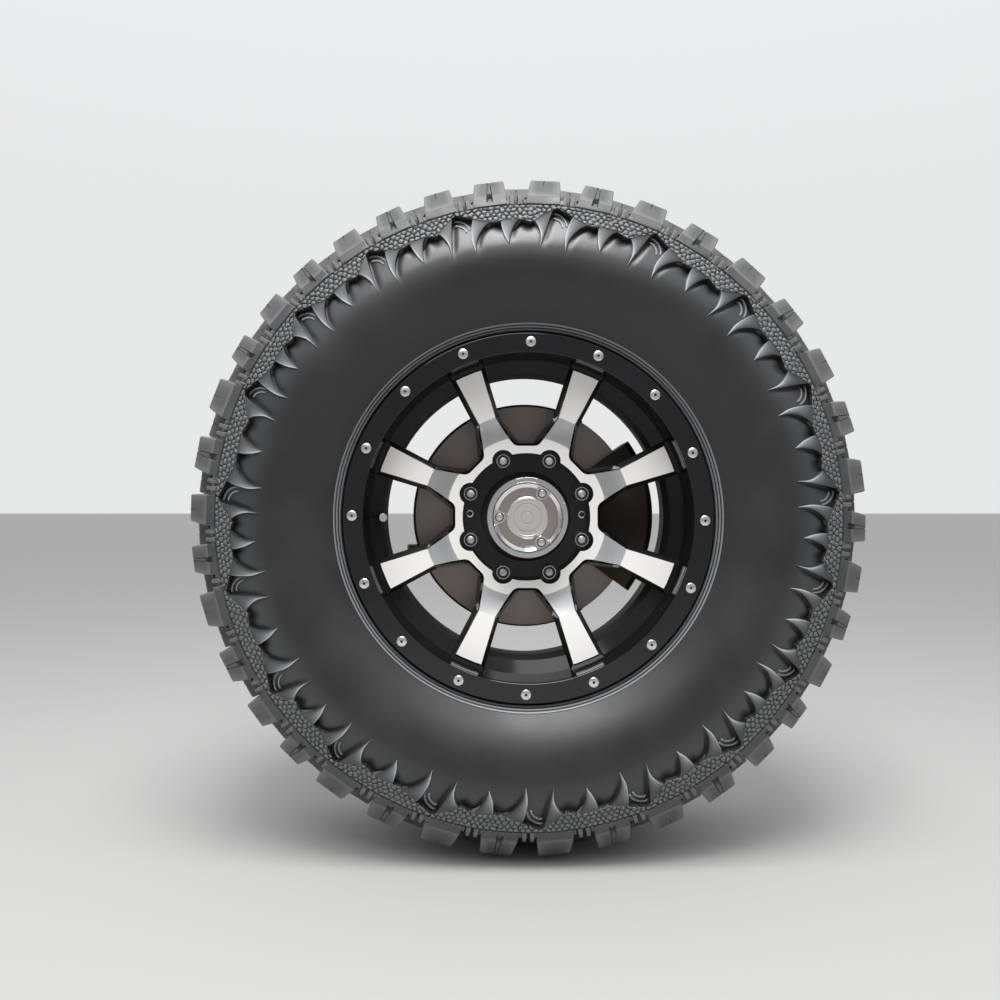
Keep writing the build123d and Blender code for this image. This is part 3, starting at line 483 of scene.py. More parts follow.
# The groove ribs: two low bars of the same rubber across each groove between the lugs, moulded on its floor.
# They run down over the shoulder as the lugs do.
rib_rows = np.array([
    # distance outboard, radius at the top
    (116.0, 402.0), (119.0, 411.5), (133.0, 407.0), (144.0, 403.0), (148.6, 398.0), (149.4, 391.0),
    (146.5, 388.0),
])
rib_columns = np.array([-3.4, -2.4, -1.6, 1.6, 2.4, 3.4])
rib_drop = np.array([9.0, 0.9, 0.0, 0.0, 0.9, 9.0])
# Dust together with a painted highlight along each rib's top edges.
rib_dust_and_highlight = np.array([0, 0.8, 0.6, 0.6, 0.8, 0])
rib_offsets = (-5.2, 4.6)
groove_middles = (lug_middles + np.append(lug_middles[1:], lug_middles[0] + 360)) / 2
bars = [on_tread(rib_columns + offset, rib_rows[:, 1:] - rib_drop, rib_rows[:, :1], side, middle)
        for side in (1, -1) for middle in groove_middles for offset in rib_offsets]
groove_ribs = woven("tyre_groove_ribs", np.array(bars), shut=True, sharp=24, relief=rib_dust_and_highlight)
on_tyre(groove_ribs, tread_rubber)

# The centre blocks: two rows of chevron blocks down the middle of the tread, moulded in the lugs' rubber and
# staggered so that they interlock. A fine slit crosses the middle of each.
block_rows = np.array([
    # distance outboard, radius at the top
    (2.0, 421.0), (4.0, 440.2), (5.4, 441.4), (20.0, 441.3), (38.0, 440.9), (55.0, 440.2), (56.6, 438.8),
    (58.6, 421.0),
])
block_columns = np.array([-1.14, -1.0, -0.93, -0.05, -0.03, 0.03, 0.05, 0.93, 1.0, 1.14])
block_drop = np.array([20.0, 1.4, 0.0, 0.0, 3.0, 3.0, 0.0, 0.0, 1.4, 20.0])
# Dust together with a painted highlight on each block's edges.
block_dust_and_highlight = np.array([0, 1, 0.7, 0.2, 0, 0, 0.2, 0.7, 1, 0])
block_half, block_long, block_foot = 17.0, 58.0, 420.5
block_swing, block_bends, block_stagger = 7.0, 1.5, 1.3
blocks = []
for side in (1, -1):
    zigzag = block_swing * np.sin(block_rows[:, :1] / block_long * pi * block_bends) * side
    height = np.maximum(block_rows[:, 1:] - block_drop, block_foot)
    for middle in groove_middles:
        blocks.append(on_tread(block_columns * block_half + zigzag, height, block_rows[:, :1], side,
                               middle + side * block_stagger))
centre_blocks = woven("tyre_centre_blocks", np.array(blocks), shut=True, sharp=24, relief=block_dust_and_highlight)
on_tyre(centre_blocks, tread_rubber)

# The claws: three to a pitch, moulded on the sidewall's shoulder in its own rubber. Each lies between two
# edges that meet in a point towards the rim, with a painted highlight on its ridge and its blade edge that
# makes them lighter than the wall.
claw_steps = 16
claw_height, claw_thinning, claw_taper = 2.9, 0.5, 1.5
claw_least, claw_half_share = 0.6, 0.46
claw_tuck, claw_tuck_ease = 1.2, 5
claw_insets = np.array([0.0, 0.5, 0.7, 2.4, 1.2, 0.7, 0.5, 0.0])
claw_section = np.array([0, 0.75, 0.96, 1, 1, 0.96, 0.75, 0])
claw_sunk = np.array([-7.5, 0, 0, 0, 0, 0, 0, -9.5])
claw_tip_sunk = -1.0
blade_from, blade_run = 0.15, 0.45
wall_slope = np.gradient(wall[:, 1], wall[:, 0])


def on_sidewall(radius, angle, height, side):
    """Points that stand a height off the sidewall, square to it, at a radius and a clock angle."""
    slope = np.interp(radius, wall[:, 0], wall_slope)
    lean = np.sqrt(1 + slope**2)
    out = wall_out(radius) + height / lean
    return around_axis(radius - height * slope / lean, angle, centre_depth - side * out)


claws = []
down = np.linspace(0, 1, claw_steps)[:, None]
for first, second in claw_edges:
    left, right = smooth_line(first, claw_steps), smooth_line(second, claw_steps)
    for start, span in zip(starts, spans):
        width = np.maximum((right[:, :1] - left[:, :1]) * (np.radians(span) * left[:, 1:]), claw_least)
        inset = np.minimum(claw_insets / width, claw_half_share)
        over = np.concatenate([inset[:, :4], 1 - inset[:, 4:]], axis=1)
        share = left[:, :1] * (1 - over) + right[:, :1] * over
        radius = left[:, 1:] * (1 - over) + right[:, 1:] * over
        root = np.interp(share, band_low[:, 0], band_low[:, 1]) + claw_tuck
        radius += (root - radius) * (1 - down) ** claw_tuck_ease
        height = claw_height * (1 - claw_thinning * down**claw_taper) * claw_section + claw_sunk
        height[-1] = claw_tip_sunk
        claws += [on_sidewall(radius, start + span * share, height, side) for side in (1, -1)]
blade = np.clip((down - blade_from) / blade_run, 0, 1)
# Painted highlight on each claw's ridge and blade edge, strongest towards the tip.
claw_painted_highlight = np.array([0.0, 0.07, 0.13, 0.07, 0.06, 0.11, 0.02, 0.0])
claw_painted_highlight = claw_painted_highlight + np.array([0, 0.4, 0.87, 0.40, 0, 0, 0.05, 0]) * blade
claws = woven("tyre_claws", np.array(claws), shut=True, sharp=40, relief=claw_painted_highlight)
# The claw rubber's edge tone is the colour of that painted highlight.
claw_rubber = rubber("claw_rubber", (0.50, 0.51, 0.53), **wall_mix)
on_tyre(claws, claw_rubber)

# The scaled band above the claws: a raised strip of small pebbled cells, moulded round the shoulder in the
# sidewall's rubber and widest in mid pitch. The cells are the fields of scattered points, parted by narrow
# valleys. The cell tops are painted lighter and the valleys left dark, as painted light and shade, with a
# painted highlight on the band's upper edge.
band_high, band_height, band_edge_height = 388.2, 3.9, 2.7
band_flare, band_sunk = (0.5, 0.8), (-9.0, -1.0)
band_columns = 108
band_rows = np.concatenate([[0, 0.0], np.linspace(0.03, 0.97, 18), [1, 1]])
cell_wide, cell_high, cell_deep = 7.4, 4.9, 1.9
cell_circle, first_cell_row = 378.0, 360.0
valley, cell_slope, cell_light_power, band_edge_highlight = 0.45, 1.3, 1.4, 0.2
cell_scatter, far_off = 0.5, 9.0
key_along, key_up, key_shift = 12.9898, 78.233, 1.7
spread_along, spread_up = 43758.5453, 24634.6345


def scatter(key, spread):
    """A number from -0.5 to 0.5 that looks random: the fraction of a large sine of the key, less a half."""
    return (np.sin(key) * spread % 1) - 0.5


share, turn = pitch_steps(band_columns)
low = np.interp(share % 1, band_low[:, 0], band_low[:, 1])[:, None]
radius = low + (band_high - low) * band_rows
radius[:, 0] -= band_flare[0]
radius[:, -1] += band_flare[1]
cells_round = int(2 * pi * cell_circle / cell_wide)
along = turn[:, None] / 360 * cells_round + 0 * radius
up = (radius - first_cell_row) / cell_high
nearest = np.full(radius.shape, far_off)
second = np.full(radius.shape, far_off)
for step_up in (-1, 0, 1):
    for step_along in (-2, -1, 0, 1, 2):
        row = np.floor(up) + step_up
        column = np.floor(along - 0.5 * (row % 2)) + step_along
        key = (column % cells_round) * key_along + row * key_up
        centre_along = column + 0.5 + 0.5 * (row % 2) + cell_scatter * scatter(key, spread_along)
        centre_up = row + 0.5 + cell_scatter * scatter(key + key_shift, spread_up)
        gap = np.hypot((along - centre_along) * cell_wide, (up - centre_up) * cell_high)
        second = np.minimum(second, np.maximum(nearest, gap))
        nearest = np.minimum(nearest, gap)
swell = np.clip((second - nearest - valley) / cell_slope, 0, 1)
height = band_height - cell_deep + cell_deep * swell * (2 - swell)
height[:, [0, -1]] = band_sunk
height[:, [1, -2]] = band_edge_height
# Painted light on the band: the cell tops lighter, the valleys left dark as painted shade, and a painted
# highlight on the upper edge.
band_painted_light = swell**cell_light_power
band_painted_light[:, [0, 1, -1]] = 0.0
band_painted_light[:, -2] = band_edge_highlight
bands = [on_sidewall(radius, turn[:, None], height, side) for side in (1, -1)]
band = woven("tyre_scaled_band", np.array(bands), join_rows=True, sharp=60, relief=band_painted_light)
# The band rubber's edge tone is the colour of its painted light.
band_rubber = rubber("band_rubber", (0.095, 0.098, 0.102), specular=0.9, Base=(0.005, 0.005, 0.005),
                     Patch=(0.009, 0.009, 0.009), Patch_Scale=30.0, Roughness=0.50)
on_tyre(band, band_rubber)

# The arcs: two thin raised lines of the claws' rubber on the pillow before each pitch's first claw. Each is a
# quarter of an oval that bends down from the band and follows the dish below it. Their tops carry a painted
# highlight.
arc_steps = 12
arc_sizes = ((0.150, 19.0, 382.5), (0.112, 14.0, 376.0))
arc_start, arc_spread = -0.035, 0.008
arc_across = np.array([-1.3, -0.9, 0.9, 1.3])
arc_height, arc_sunk = 1.7, -1.5
# A painted highlight on the top of each arc.
arc_painted_highlight = np.array([0, 0.47, 0.47, 0])
arcs = []
bend = np.linspace(0, pi / 2, arc_steps)[:, None]
for start, span in zip(starts, spans):
    for wide, high, top in arc_sizes:
        share = arc_start + (wide + arc_across * arc_spread) * np.sin(bend)
        radius = top - high * (1 - np.cos(bend)) + arc_across * np.cos(bend)
        height = np.tile([arc_sunk, arc_height, arc_height, arc_sunk], (arc_steps, 1))
        height[[0, -1]] = arc_sunk
        height = height - pillow_depth(radius)
        arcs += [on_sidewall(radius, start + span * share, height, side) for side in (1, -1)]
arcs = woven("tyre_arcs", np.array(arcs), shut=True, sharp=30, relief=arc_painted_highlight)
on_tyre(arcs, claw_rubber)

# The yoke and the knuckle: steel forgings, blackened and lightly rusted, with their edges rounded by the die.
# The yoke is welded to the axle tube, and the knuckle hangs in it on two ball joints.
forging = skinned("forged_steel", metal=0.35, Base=(0.050, 0.046, 0.043), Patch=(0.105, 0.060, 0.036),
                  Patch_Amount=0.75, Patch_Scale=16.0, Roughness=0.62, Roughness_Swing=0.16,
                  Grain_Scale=420.0, Grain_Depth=0.0006)
forgings = (("yoke_forging", "axle_yoke", "axle_yoke"), ("knuckle_forging", "knuckle", "knuckle"))
merge_gap, flat_angle, bevel_angle = 2e-6, 0.5, 28.0
round_share, tiny = 0.10, 1e-9


def gathered(items, name, kind, width=1):
    """One value of each item as an array, of a kind and a width."""
    values = np.zeros(len(items) * width, kind)
    items.foreach_get(name, values)
    return values.reshape(-1, width) if width > 1 else values


def turn_normals(mesh):
    """Gives each face that was turned about the wheel axis the round normals of its surface.

    Such a face's normal has no part along the turn, so each corner takes the face's own share along the axis
    and the rest along its own radius.
    """
    normal = gathered(mesh.polygons, "normal", float, 3)
    middle = gathered(mesh.polygons, "center", float, 3)
    owner = np.repeat(np.arange(len(mesh.polygons)), gathered(mesh.polygons, "loop_total", np.int32))
    place = gathered(mesh.vertices, "co", float, 3)[gathered(mesh.loops, "vertex_index", np.int32)]
    smooth = gathered(mesh.corner_normals, "vector", float, 3)
    outward = middle[:, [0, 2]] / np.maximum(np.linalg.norm(middle[:, [0, 2]], axis=1), tiny)[:, None]
    radial = (normal[:, [0, 2]] * outward).sum(axis=1)
    around = abs(normal[:, 0] * outward[:, 1] - normal[:, 2] * outward[:, 0])
    corner_out = place[:, [0, 2]] / np.maximum(np.linalg.norm(place[:, [0, 2]], axis=1), tiny)[:, None]
    share = (np.sqrt(np.maximum(1 - normal[:, 1] ** 2, 0)) * np.sign(radial))[owner]
    round_normal = np.stack([corner_out[:, 0] * share, normal[owner, 1], corner_out[:, 1] * share], axis=1)
    turned = (around < round_share)[owner]
    smooth[turned] = round_normal[turned]
    mesh.normals_split_custom_set(smooth.tolist())


def dressed(name, node, body, paints, width, steps=2, about_axis=False, shaping=None):
    """A CAD solid with its edges rounded: its triangles merged, its flats made whole, its edges bevelled.

    width and steps are the bevel's. shaping may change the merged mesh before its edges are picked.
    """
    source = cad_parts[node].data
    source.calc_loop_triangles()
    places = gathered(source.vertices, "co", np.float32, 3)
    triangles = gathered(source.loop_triangles, "vertices", np.int32, 3)
    mesh = bpy.data.meshes.new(name)
    mesh.from_pydata(places.tolist(), [], triangles.tolist())
    whole = bmesh.new()
    whole.from_mesh(mesh)
    bmesh.ops.remove_doubles(whole, verts=whole.verts, dist=merge_gap)
    bmesh.ops.dissolve_limit(whole, angle_limit=radians(flat_angle), verts=whole.verts, edges=whole.edges)
    if shaping:
        shaping(whole)
    weight = whole.edges.layers.float.new("bevel_weight_edge")
    for edge in whole.edges:
        if len(edge.link_faces) == 2 and edge.calc_face_angle() > radians(bevel_angle):
            edge[weight] = 1.0 if edge.is_convex else 0.0
            edge.smooth = edge.is_convex
    whole.to_mesh(mesh)
    whole.free()
    mesh.shade_smooth()
    shaped = bpy.data.objects.new(name + "_plain", mesh)
    bpy.context.scene.collection.objects.link(shaped)
    bevel = shaped.modifiers.new("edges", "BEVEL")
    bevel.width = width * 0.001
    bevel.segments = steps
    bevel.limit_method = "WEIGHT"
    bevel.miter_outer = "MITER_ARC"
    shaped.modifiers.new("flats", "WEIGHTED_NORMAL").keep_sharp = True
    graph = bpy.context.evaluated_depsgraph_get()
    final = bpy.data.meshes.new_from_object(shaped.evaluated_get(graph))
    bpy.data.objects.remove(shaped)
    final.name = name
    if about_axis:
        turn_normals(final)
    for paint in paints:
        final.materials.append(paint)
    piece = bpy.data.objects.new(name, final)
    bpy.context.scene.collection.objects.link(piece)
    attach(piece, body)
    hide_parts(node)
    return piece


for name, node, body in forgings:
    dressed(name, node, body, [forging], width=2.2, steps=3)

# The ball joints, spindle, nuts, guide pins, outer shaft and its cross: plain machined steel with a film of
# oil, and rubber boots that keep the grease in.
steel = skinned("plain_steel", metal=1.0, Base=(0.40, 0.39, 0.37), Patch=(0.25, 0.21, 0.17), Patch_Amount=0.6,
                Patch_Scale=45.0, Roughness=0.36, Roughness_Swing=0.18, Grain_Scale=700.0, Grain_Depth=0.0001)
boot_rubber = skinned("boot_rubber", Base=(0.018, 0.018, 0.018), Patch=(0.05, 0.045, 0.04),
                      Patch_Scale=50.0, Roughness=0.55, Grain_Depth=0.0001)
steel_parts = (
    # node, body, bevel
    ("ball_studs", "axle_yoke", 0.8), ("ball_stud_nuts", "axle_yoke", 0.8), ("ball_sockets", "knuckle", 0.8),
    ("spindle", "knuckle", 0.8), ("spindle_nuts", "knuckle", 0.6), ("caliper_pins", "knuckle", 0.6),
    ("stub_shaft", "wheel", 1.2), ("joint_cross", "wheel", 0.8),
)
for node, body, width in steel_parts:
    dressed(node + "_steel", node, body, [steel], width)
dressed("boots_rubber", "ball_boots", "knuckle", [boot_rubber], width=1.2, steps=3)

# The brake: a vented disc turned from grey iron, a cast caliper that slides on pins over its two pads, and a
# pressed sheet shield in black paint.


def lathe_rings():
    """The fine rings that a lathe leaves: height and roughness waver with the distance from the axle."""
    tree, given, result = group("lathe_rings", [
        ("Pitch", "NodeSocketFloat", 0.8), ("Depth", "NodeSocketFloat", 0.00003),
        ("Roughness", "NodeSocketFloat", 0.3), ("Roughness Swing", "NodeSocketFloat", 0.1),
    ], [("Roughness", "NodeSocketFloat"), ("Normal", "NodeSocketVector"), ("Mask", "NodeSocketFloat")])
    place = step(tree, "ShaderNodeTexCoord")
    flat = step(tree, "ShaderNodeVectorMath", operation="MULTIPLY")
    flat.inputs[1].default_value = (1, 0, 1)
    distance = step(tree, "ShaderNodeVectorMath", operation="LENGTH")
    stretch = step(tree, "ShaderNodeMath", operation="MULTIPLY")
    marks = step(tree, "ShaderNodeTexNoise", noise_dimensions="1D", Scale=1.0, Detail=3.0)
    centred = step(tree, "ShaderNodeMath", operation="SUBTRACT")
    centred.inputs[1].default_value = 0.5
    swing = step(tree, "ShaderNodeMath", operation="MULTIPLY_ADD")
    lift = step(tree, "ShaderNodeBump", Strength=1.0)
    join(tree, (place, "Object", flat, 0), (flat, 0, distance, 0), (distance, "Value", stretch, 0),
         (given, "Pitch", stretch, 1), (stretch, 0, marks, "W"), (marks, "Fac", centred, 0),
         (centred, 0, swing, 0), (given, "Roughness Swing", swing, 1), (given, "Roughness", swing, 2),
         (swing, 0, result, "Roughness"), (marks, "Fac", lift, "Height"),
         (given, "Depth", lift, "Distance"), (lift, "Normal", result, "Normal"),
         (marks, "Fac", result, "Mask"))
    return tree


def machined(name, bright, dull, roughness, pitch=1400.0, depth=0.00001, metal=1.0):
    """A lathe-turned metal: its rings waver in tone between two colours."""
    paint = bpy.data.materials.new(name)
    paint.use_nodes = True
    tree = paint.node_tree
    shader = tree.nodes["Principled BSDF"]
    shader.inputs["Metallic"].default_value = metal
    rings = step(tree, "ShaderNodeGroup", node_tree=lathe, Pitch=pitch, Depth=depth, Roughness=roughness)
    tone = step(tree, "ShaderNodeMix", data_type="RGBA", A=(*dull, 1), B=(*bright, 1))
    join(tree, (rings, "Mask", tone, "Factor"), (tone, "Result", shader, "Base Color"),
         (rings, "Roughness", shader, "Roughness"), (rings, "Normal", shader, "Normal"))
    return paint


lathe = lathe_rings()
disc_iron = machined("disc_iron", (0.38, 0.345, 0.325), (0.25, 0.225, 0.21), 0.38, metal=0.85)
caliper_iron = skinned("caliper_iron", metal=0.3, Base=(0.040, 0.037, 0.034), Patch=(0.085, 0.060, 0.042),
                       Patch_Amount=0.6, Patch_Scale=22.0, Roughness=0.58, Roughness_Swing=0.15,
                       Grain_Scale=520.0, Grain_Depth=0.0005)
lining = skinned("pad_lining", Base=(0.10, 0.085, 0.075), Patch=(0.16, 0.13, 0.10), Patch_Amount=0.8,
                 Patch_Scale=260.0, Roughness=0.85, Grain_Scale=600.0, Grain_Depth=0.0006)
shield_paint = skinned("shield_paint", Base=(0.030, 0.030, 0.031), Patch=(0.060, 0.052, 0.045),
                       Patch_Scale=14.0, Roughness=0.42, Roughness_Swing=0.12, Grain_Scale=500.0,
                       Grain_Depth=0.0001)
brake_parts = (
    # node, body, slot, material, bevel, turned about the axle
    ("brake_disc", "wheel", "disc_iron", disc_iron, 0.8, True),
    ("caliper", "knuckle", "caliper_iron", caliper_iron, 2.0, False),
    ("brake_pads", "knuckle", "pad_lining", lining, 0.8, False),
    ("dust_shield", "knuckle", "sheet_steel", shield_paint, 0.5, True),
)
for node, body, slot, paint, width, about_axis in brake_parts:
    dressed(node + "_made", node, body, [paint], width, about_axis=about_axis)

# The hub: grey iron, cast with its stud flange, its nose and flange turned. Its studs are pressed in and are
# part of the solid.
# Its tone is near black, far darker than turned grey iron, so that the hub reads dark between the cap and the
# nuts.
hub_iron = machined("hub_iron", (0.040, 0.038, 0.036), (0.022, 0.020, 0.018), 0.5, depth=0.00004, metal=0.2)
dressed("hub_casting", "wheel_hub", "wheel", [hub_iron], width=0.8, about_axis=True)

# The wheel: one alloy casting under gloss black, with its spoke faces and hub ring turned bright after it was
# painted. A painted border is left round each window, whose sides have the draft that a mould needs.
gloss_black = skinned("gloss_black", Base=(0.005, 0.005, 0.0055), Patch=(0.009, 0.009, 0.010),
                      Patch_Scale=12.0, Roughness=0.09, Roughness_Swing=0.04, Grain_Scale=260.0,
                      Grain_Depth=0.00002)
bright_alloy = machined("bright_alloy", (1.0, 0.98, 0.95), (0.92, 0.90, 0.87), 0.42, metal=0.4)
barrel_paint = skinned("barrel_paint", specular=0.12, Base=(0.010, 0.010, 0.010), Patch=(0.022, 0.020, 0.018),
                       Patch_Amount=0.6, Patch_Scale=14.0, Roughness=0.6, Grain_Scale=400.0,
                       Grain_Depth=0.0001)
slope_alloy = machined("slope_alloy", (0.96, 0.97, 0.98), (0.66, 0.67, 0.68), 0.34, pitch=900.0, metal=0.7)
dish_paint = skinned("dish_paint", specular=0.2, Base=(0.006, 0.006, 0.0065), Patch=(0.010, 0.010, 0.011),
                     Patch_Scale=12.0, Roughness=0.13, Roughness_Swing=0.05, Grain_Scale=260.0,
                     Grain_Depth=0.00002)
wheel_paints = (gloss_black, bright_alloy, barrel_paint, slope_alloy, dish_paint)
face_profile = ([87.0, 109.0, 139.0, 204.0, 204.1], [90.0, 90.0, 60.0, 50.0, 0.0])
window_border, window_fall, window_draft, draft_run = 3.6, 3.2, 4.0, 20.0
border_reach, border_narrowing = (112.0, 140.0), (0.0, 0.75)
window_reach = (97.0, 197.0)
nut_count = 8
nut_turn = 360 / nut_count
spoke_root, nut_pocket_reach, nut_pocket_turn = 106.0, 96.5, 11.0
face_lean, face_near, side_lean, inward = 0.6, 1.5, 0.25, -0.9
turned_near, slope_lean = 0.9, 0.85
dish_from, barrel_from, barrel_lean, dish_away = 150.0, 62.0, 0.7, -0.4


def face_line(radius):
    """How deep the turned faces of the wheel lie at a radius."""
    return np.interp(radius, *face_profile)


def ease_windows(whole):
    """A painted border round each window, and its draft.

    The turned faces are drawn in from their edge, that edge is lowered, and the sides below it are pushed out
    in proportion to their depth, up to the full draft.
    """
    faces = []
    for face in whole.faces:
        x, y, z = np.array(face.calc_center_median()) * 1000
        if -face.normal.y > face_lean and abs(y - lip_y - face_line(np.hypot(x, z))) < face_near:
            faces.append(face)
    border = bmesh.ops.inset_region(whole, faces=faces, thickness=window_border * 0.001, use_boundary=True,
                                    use_even_offset=True)["faces"]
    kept = set(faces) | set(border)
    rim = {v for face in border for e in face.edges if not kept.issuperset(e.link_faces) for v in e.verts}
    drawn_in = {}
    for face in border:
        for edge in face.edges:
            ends = [v for v in edge.verts if v in rim]
            if len(ends) == 1:
                drawn_in[edge.other_vert(ends[0])] = ends[0]
    for v, outer in drawn_in.items():
        v.co = v.co.lerp(outer.co, np.interp(np.hypot(v.co.x, v.co.z) * 1000, border_reach, border_narrowing))
    for v in rim:
        reach, angle = np.hypot(v.co.x, v.co.z) * 1000, np.degrees(np.arctan2(v.co.x, v.co.z))
        off_nut = abs((angle + 360) % nut_turn - nut_turn / 2)
        if reach > spoke_root or (reach > nut_pocket_reach and off_nut > nut_pocket_turn):
            v.co.y += window_fall * 0.001
    whole.normal_update()
    push = {}
    for face in whole.faces:
        x, y, z = np.array(face.calc_center_median()) * 1000
        reach = np.hypot(x, z)
        faces_axle = (face.normal.x * x + face.normal.z * z) / reach < inward
        in_window = window_reach[0] < reach < window_reach[1] and y - lip_y > face_line(reach)
        if abs(face.normal.y) < side_lean and in_window and not faces_axle:
            for v in face.verts:
                push.setdefault(v, []).append(face.normal.copy())
    for v, normals in push.items():
        total = sum(normals, Vector((0, 0, 0)))
        below = v.co.y * 1000 - lip_y - face_line(np.hypot(v.co.x, v.co.z) * 1000) - window_fall
        total.y = 0
        if total.length > 0:
            v.co += total.normalized() * window_draft * 0.001 * min(max(below / draft_run, 0.0), 1.0)
    whole.normal_update()


def face_facts(piece):
    """The radius and depth of each face, and its normal's share out along the axis and away from it."""
    centre = gathered(piece.data.polygons, "center", float, 3) * 1000
    normal = gathered(piece.data.polygons, "normal", float, 3)
    radius = np.hypot(centre[:, 0], centre[:, 2])
    away = (centre[:, [0, 2]] * normal[:, [0, 2]]).sum(axis=1) / np.maximum(radius, tiny)
    return radius, centre[:, 1] - lip_y, -normal[:, 1], away


wheel = dressed("wheel_casting", "alloy_wheel", "wheel", wheel_paints, width=0.6,
                about_axis=True, shaping=ease_windows)
radius, depth, lean, away = face_facts(wheel)
turned = (lean > face_lean) & (abs(depth - face_line(radius)) < turned_near)
sloped = turned & (lean < slope_lean)
barrel = (depth > barrel_from) & (radius > dish_from) & (abs(lean) < barrel_lean)
dish_wall = (radius > dish_from) & (depth > 1.0) & (away < dish_away)
finish = np.select([sloped, turned, barrel, dish_wall], [3, 1, 2, 4], 0)
wheel.data.polygons.foreach_set("material_index", finish.astype(np.int32))

# The trim ring: a flat alloy ring in the wheel's gloss black, held on the lip by sixteen button-head bolts
# of plated steel with hexagon sockets.
dressed("ring_plate", "bead_ring", "wheel", [gloss_black], width=1.0, steps=3, about_axis=True)
plated = skinned("plated_steel", metal=1.0, Base=(0.78, 0.78, 0.77), Patch=(0.58, 0.57, 0.55),
                 Patch_Scale=120.0, Roughness=0.26, Roughness_Swing=0.12, Grain_Scale=800.0,
                 Grain_Depth=0.00005)
# Painted shade: the sockets and recesses of the bolts, nuts and screws are painted near black.
painted_recess_shade = skinned("painted_recess_shade", Base=(0.010, 0.010, 0.010), Patch=(0.02, 0.02, 0.02), Roughness=0.5,
                      Grain_Depth=0.00002)
bolt_profile = [
    # radius, height above its seat
    (0.0, -1.0), (6.8, -1.0), (6.8, 0.8), (6.5, 1.5), (5.9, 1.9), (5.0, 2.1), (1.9, 2.3), (1.7, 2.1),
    (1.5, 0.9), (0.0, 0.8),
]
bolt_count, bolt_circle, first_bolt = 16, 223.5, 0.8
ring_places = [(bolt_circle, first_bolt + 360 / bolt_count * n, 0.0) for n in range(bolt_count)]


def turned_heads(name, paints, profile, places, sunk, sides, dents, dent_depth, dent_rows):
    """Small turned parts on the wheel's face, in one mesh: a profile carried round each part's own axis.

    Each row of the profile is (radius, height above the seat), and each place (radius, clock angle, seat
    depth). The radius of a dented row wavers by a cosine, dents times round. sunk is two radii and a depth:
    faces between them that lie deeper get the second material, a recess's painted shade, and those within the
    first the third.
    """
    inner, outer, below = sunk
    profile = np.asarray(profile, float)
    turn = np.linspace(0, 2 * pi, sides, endpoint=False)
    radius = np.repeat(profile[:, :1], sides, axis=1)
    for row in dent_rows:
        radius[row] += dent_depth * np.cos(dents * turn)
    grids = []
    for far, angle, seat in places:
        x, y, z = around_axis(far, angle, seat)
        depth = np.broadcast_to(y - profile[:, 1:], radius.shape)
        grids.append(np.stack([x + radius * np.sin(turn), depth, z + radius * np.cos(turn)], axis=-1))
    piece = woven(name, np.array(grids), join_columns=True, sharp=35)
    for paint in paints:
        piece.data.materials.append(paint)
    centres = np.array([around_axis(*place)[[0, 2]] for place in places])
    middle = gathered(piece.data.polygons, "center", float, 3) * 1000
    off_centre = np.hypot(*(middle[:, None, [0, 2]] - centres[None]).transpose(2, 0, 1)).min(axis=1)
    in_recess = (off_centre > inner) & (off_centre < outer) & (middle[:, 1] - lip_y > below)
    finish = np.where(in_recess, 1, np.where((off_centre <= inner) & (len(paints) > 2), 2, 0))
    piece.data.polygons.foreach_set("material_index", finish.astype(np.int32))
    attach(piece, "wheel")
    return piece


turned_heads("ring_bolts", (plated, painted_recess_shade), bolt_profile, ring_places,
             sunk=(0.0, 1.65, -2.2), sides=24, dents=6, dent_depth=0.14, dent_rows=(6, 7, 8))

# The wheel nuts: eight, round, of plated steel, each turned with a splined socket for its own key and a post
# in the middle. They draw the wheel on to the hub's studs.
nut_core = skinned("nut_core", metal=1.0, Base=(0.56, 0.56, 0.555), Patch=(0.32, 0.32, 0.315),
                   Patch_Amount=0.7, Patch_Scale=260.0, Roughness=0.48, Roughness_Swing=0.15,
                   Grain_Scale=700.0)
nut_profile = [
    # radius, height above its seat
    (7.2, -23.9), (9.0, -23.9), (9.8, -22.0), (9.8, -0.9), (9.0, 0.0), (8.3, 0.0), (8.0, -0.5), (7.9, -2.6),
    (5.2, -2.7), (5.0, -1.6), (4.4, -1.2), (0.0, -1.2), (0.0, -2.9), (7.2, -2.95),
]
nut_circle, nut_seat = 82.55, 97.0
nut_places = [(nut_circle, nut_turn / 2 + nut_turn * n, nut_seat) for n in range(nut_count)]
nuts = turned_heads("wheel_nuts", (plated, painted_recess_shade, nut_core), nut_profile, nut_places,
                    sunk=(5.3, 8.1, 97.2), sides=56, dents=7, dent_depth=0.35, dent_rows=(6, 7))
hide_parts("lug_nuts")

# The disc screws: two socket screws of plated steel in the hub's flange, level with the axle. They hold the
# disc while the wheel is off.
holding_profile = [
    # radius, height above its seat
    (0.0, -1.0), (5.4, -1.0), (5.4, 2.6), (4.9, 3.4), (3.6, 3.6), (3.2, 3.2), (2.9, 1.0), (0.0, 0.8),
]
holding_circle, holding_seat = 78.0, 121.0
holding_places = [(holding_circle, angle, holding_seat) for angle in (88.0, 273.0)]
turned_heads("disc_screws", (plated, painted_recess_shade), holding_profile, holding_places,
             sunk=(0.0, 3.1, 117.8), sides=30, dents=6, dent_depth=0.2, dent_rows=(5, 6))

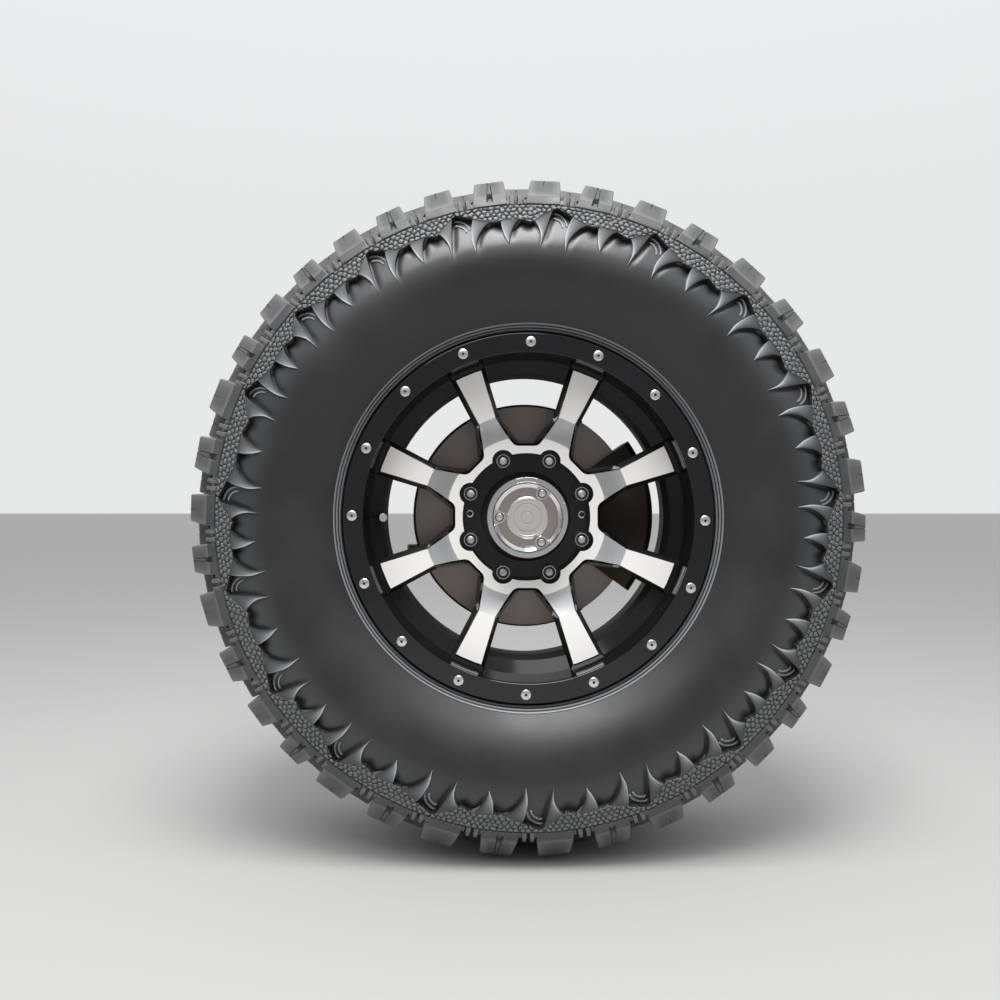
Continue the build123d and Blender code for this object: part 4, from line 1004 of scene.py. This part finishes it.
# The locking hub: a chromed barrel under a turned cap, whose rim has three bosses. The cap has a brushed
# floor and a plain round badge, and three socket screws of plated steel hold it on.
chrome = skinned("chrome", metal=1.0, Base=(0.80, 0.80, 0.80), Patch=(0.70, 0.70, 0.71), Patch_Amount=0.4,
                 Patch_Scale=30.0, Roughness=0.07, Roughness_Swing=0.05, Grain_Scale=160.0,
                 Grain_Depth=0.00004)
cap_floor = machined("cap_floor", (0.58, 0.50, 0.47), (0.44, 0.38, 0.36), 0.22, pitch=900.0, depth=0.000004)
cap_badge = machined("cap_badge", (0.58, 0.57, 0.545), (0.46, 0.45, 0.43), 0.36, pitch=2400.0,
                     depth=0.000006, metal=0.65)
screw_angles = (31.0, 151.0, 271.0)
screw_reach, screw_seat = 36.75, 32.0
boss_radius, recess_radius = 8.4, 39.4
badge_reach, floor_depth, cap_seat, flat_lean = 25.9, 35.5, 40.0, 0.95
dressed("hub_lock_body", "locking_hub", "wheel", [chrome], width=2.0, steps=4, about_axis=True)
angles = np.arange(0.0, 360.0, 1.0)
zero = 0 * angles
lobe = zero + recess_radius
on_boss = zero.copy()
for angle in screw_angles:
    off = np.radians((angles - angle + 180) % 360 - 180)
    beside = screw_reach * np.sin(off)
    near = (abs(beside) < boss_radius) & (np.cos(off) > 0)
    inner_edge = screw_reach * np.cos(off) - np.sqrt(np.maximum(boss_radius**2 - beside**2, 0))
    lobe = np.where(near, np.minimum(lobe, inner_edge), lobe)
    on_boss = np.where(near, 1.0, on_boss)
cap_rows = [
    # radius and depth of each turned line, from the badge out over the rim and down to the back
    (0.0, 33.1), (7.0, 33.3), (7.4, 34.0), (8.4, 34.0), (8.8, 33.4), (17.2, 33.4), (17.6, 34.2), (18.8, 34.2),
    (19.2, 33.5), (23.4, 33.5), (23.8, 33.2), (25.4, 33.2), (26.0, 33.8), (26.0, 36.2), (26.9, 36.5),
    (27.4, 36.0), (lobe - 1.5, 36.0), (lobe - 1.1, 36.7), (lobe - 0.3, 36.7), (lobe, 33.9 - 1.5 * on_boss),
    (lobe + 0.4, 33.5 - 1.4 * on_boss), (40.6, 33.2 - 1.1 * on_boss), (43.8, 31.4 + 0.6 * on_boss),
    (44.4, 31.3 + 0.6 * on_boss), (45.0, 32.0 + 0.4 * on_boss), (45.0, 40.0), (45.8, 41.0), (45.8, 52.0),
    (0.0, 52.0),
]
cap_grid = np.stack([around_axis(zero + radius, angles, zero + depth) for radius, depth in cap_rows])
cap = woven("hub_lock_cap", cap_grid[None], join_columns=True, sharp=22)
for paint in (chrome, cap_floor, cap_badge):
    cap.data.materials.append(paint)
radius, depth, lean, _ = face_facts(cap)
on_badge = (radius < badge_reach) & (depth < cap_seat)
on_floor = (lean > flat_lean) & (depth > floor_depth) & (depth < cap_seat)
finish = np.select([on_badge, on_floor], [2, 1], 0)
cap.data.polygons.foreach_set("material_index", finish.astype(np.int32))
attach(cap, "wheel")
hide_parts("locking_hub_cap")
screw_profile = [
    # radius, height above its seat
    (0.0, -1.0), (5.9, -1.0), (5.9, 0.15), (4.75, 0.16), (4.5, 0.2), (4.5, 0.8), (4.1, 1.4), (3.3, 1.6),
    (1.9, 1.6), (1.8, 1.4), (1.7, 0.4), (0.0, 0.3),
]
screw_places = [(screw_reach, angle, screw_seat) for angle in screw_angles]
turned_heads("cap_screws", (plated, painted_recess_shade), screw_profile, screw_places,
             sunk=(4.7, 6.5, -999.0), sides=36, dents=6, dent_depth=0.12, dent_rows=(8, 9, 10))

# The valve: a plated stem screwed into its pocket on the wheel's ledge, and the knurled cap of the same
# plated steel that is screwed over it.
for node in ("valve_stem", "valve_cap"):
    dressed(node + "_made", node, "wheel", [plated], width=0.5)

# The reach of all that the script leaves in view, in metres.
low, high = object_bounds()
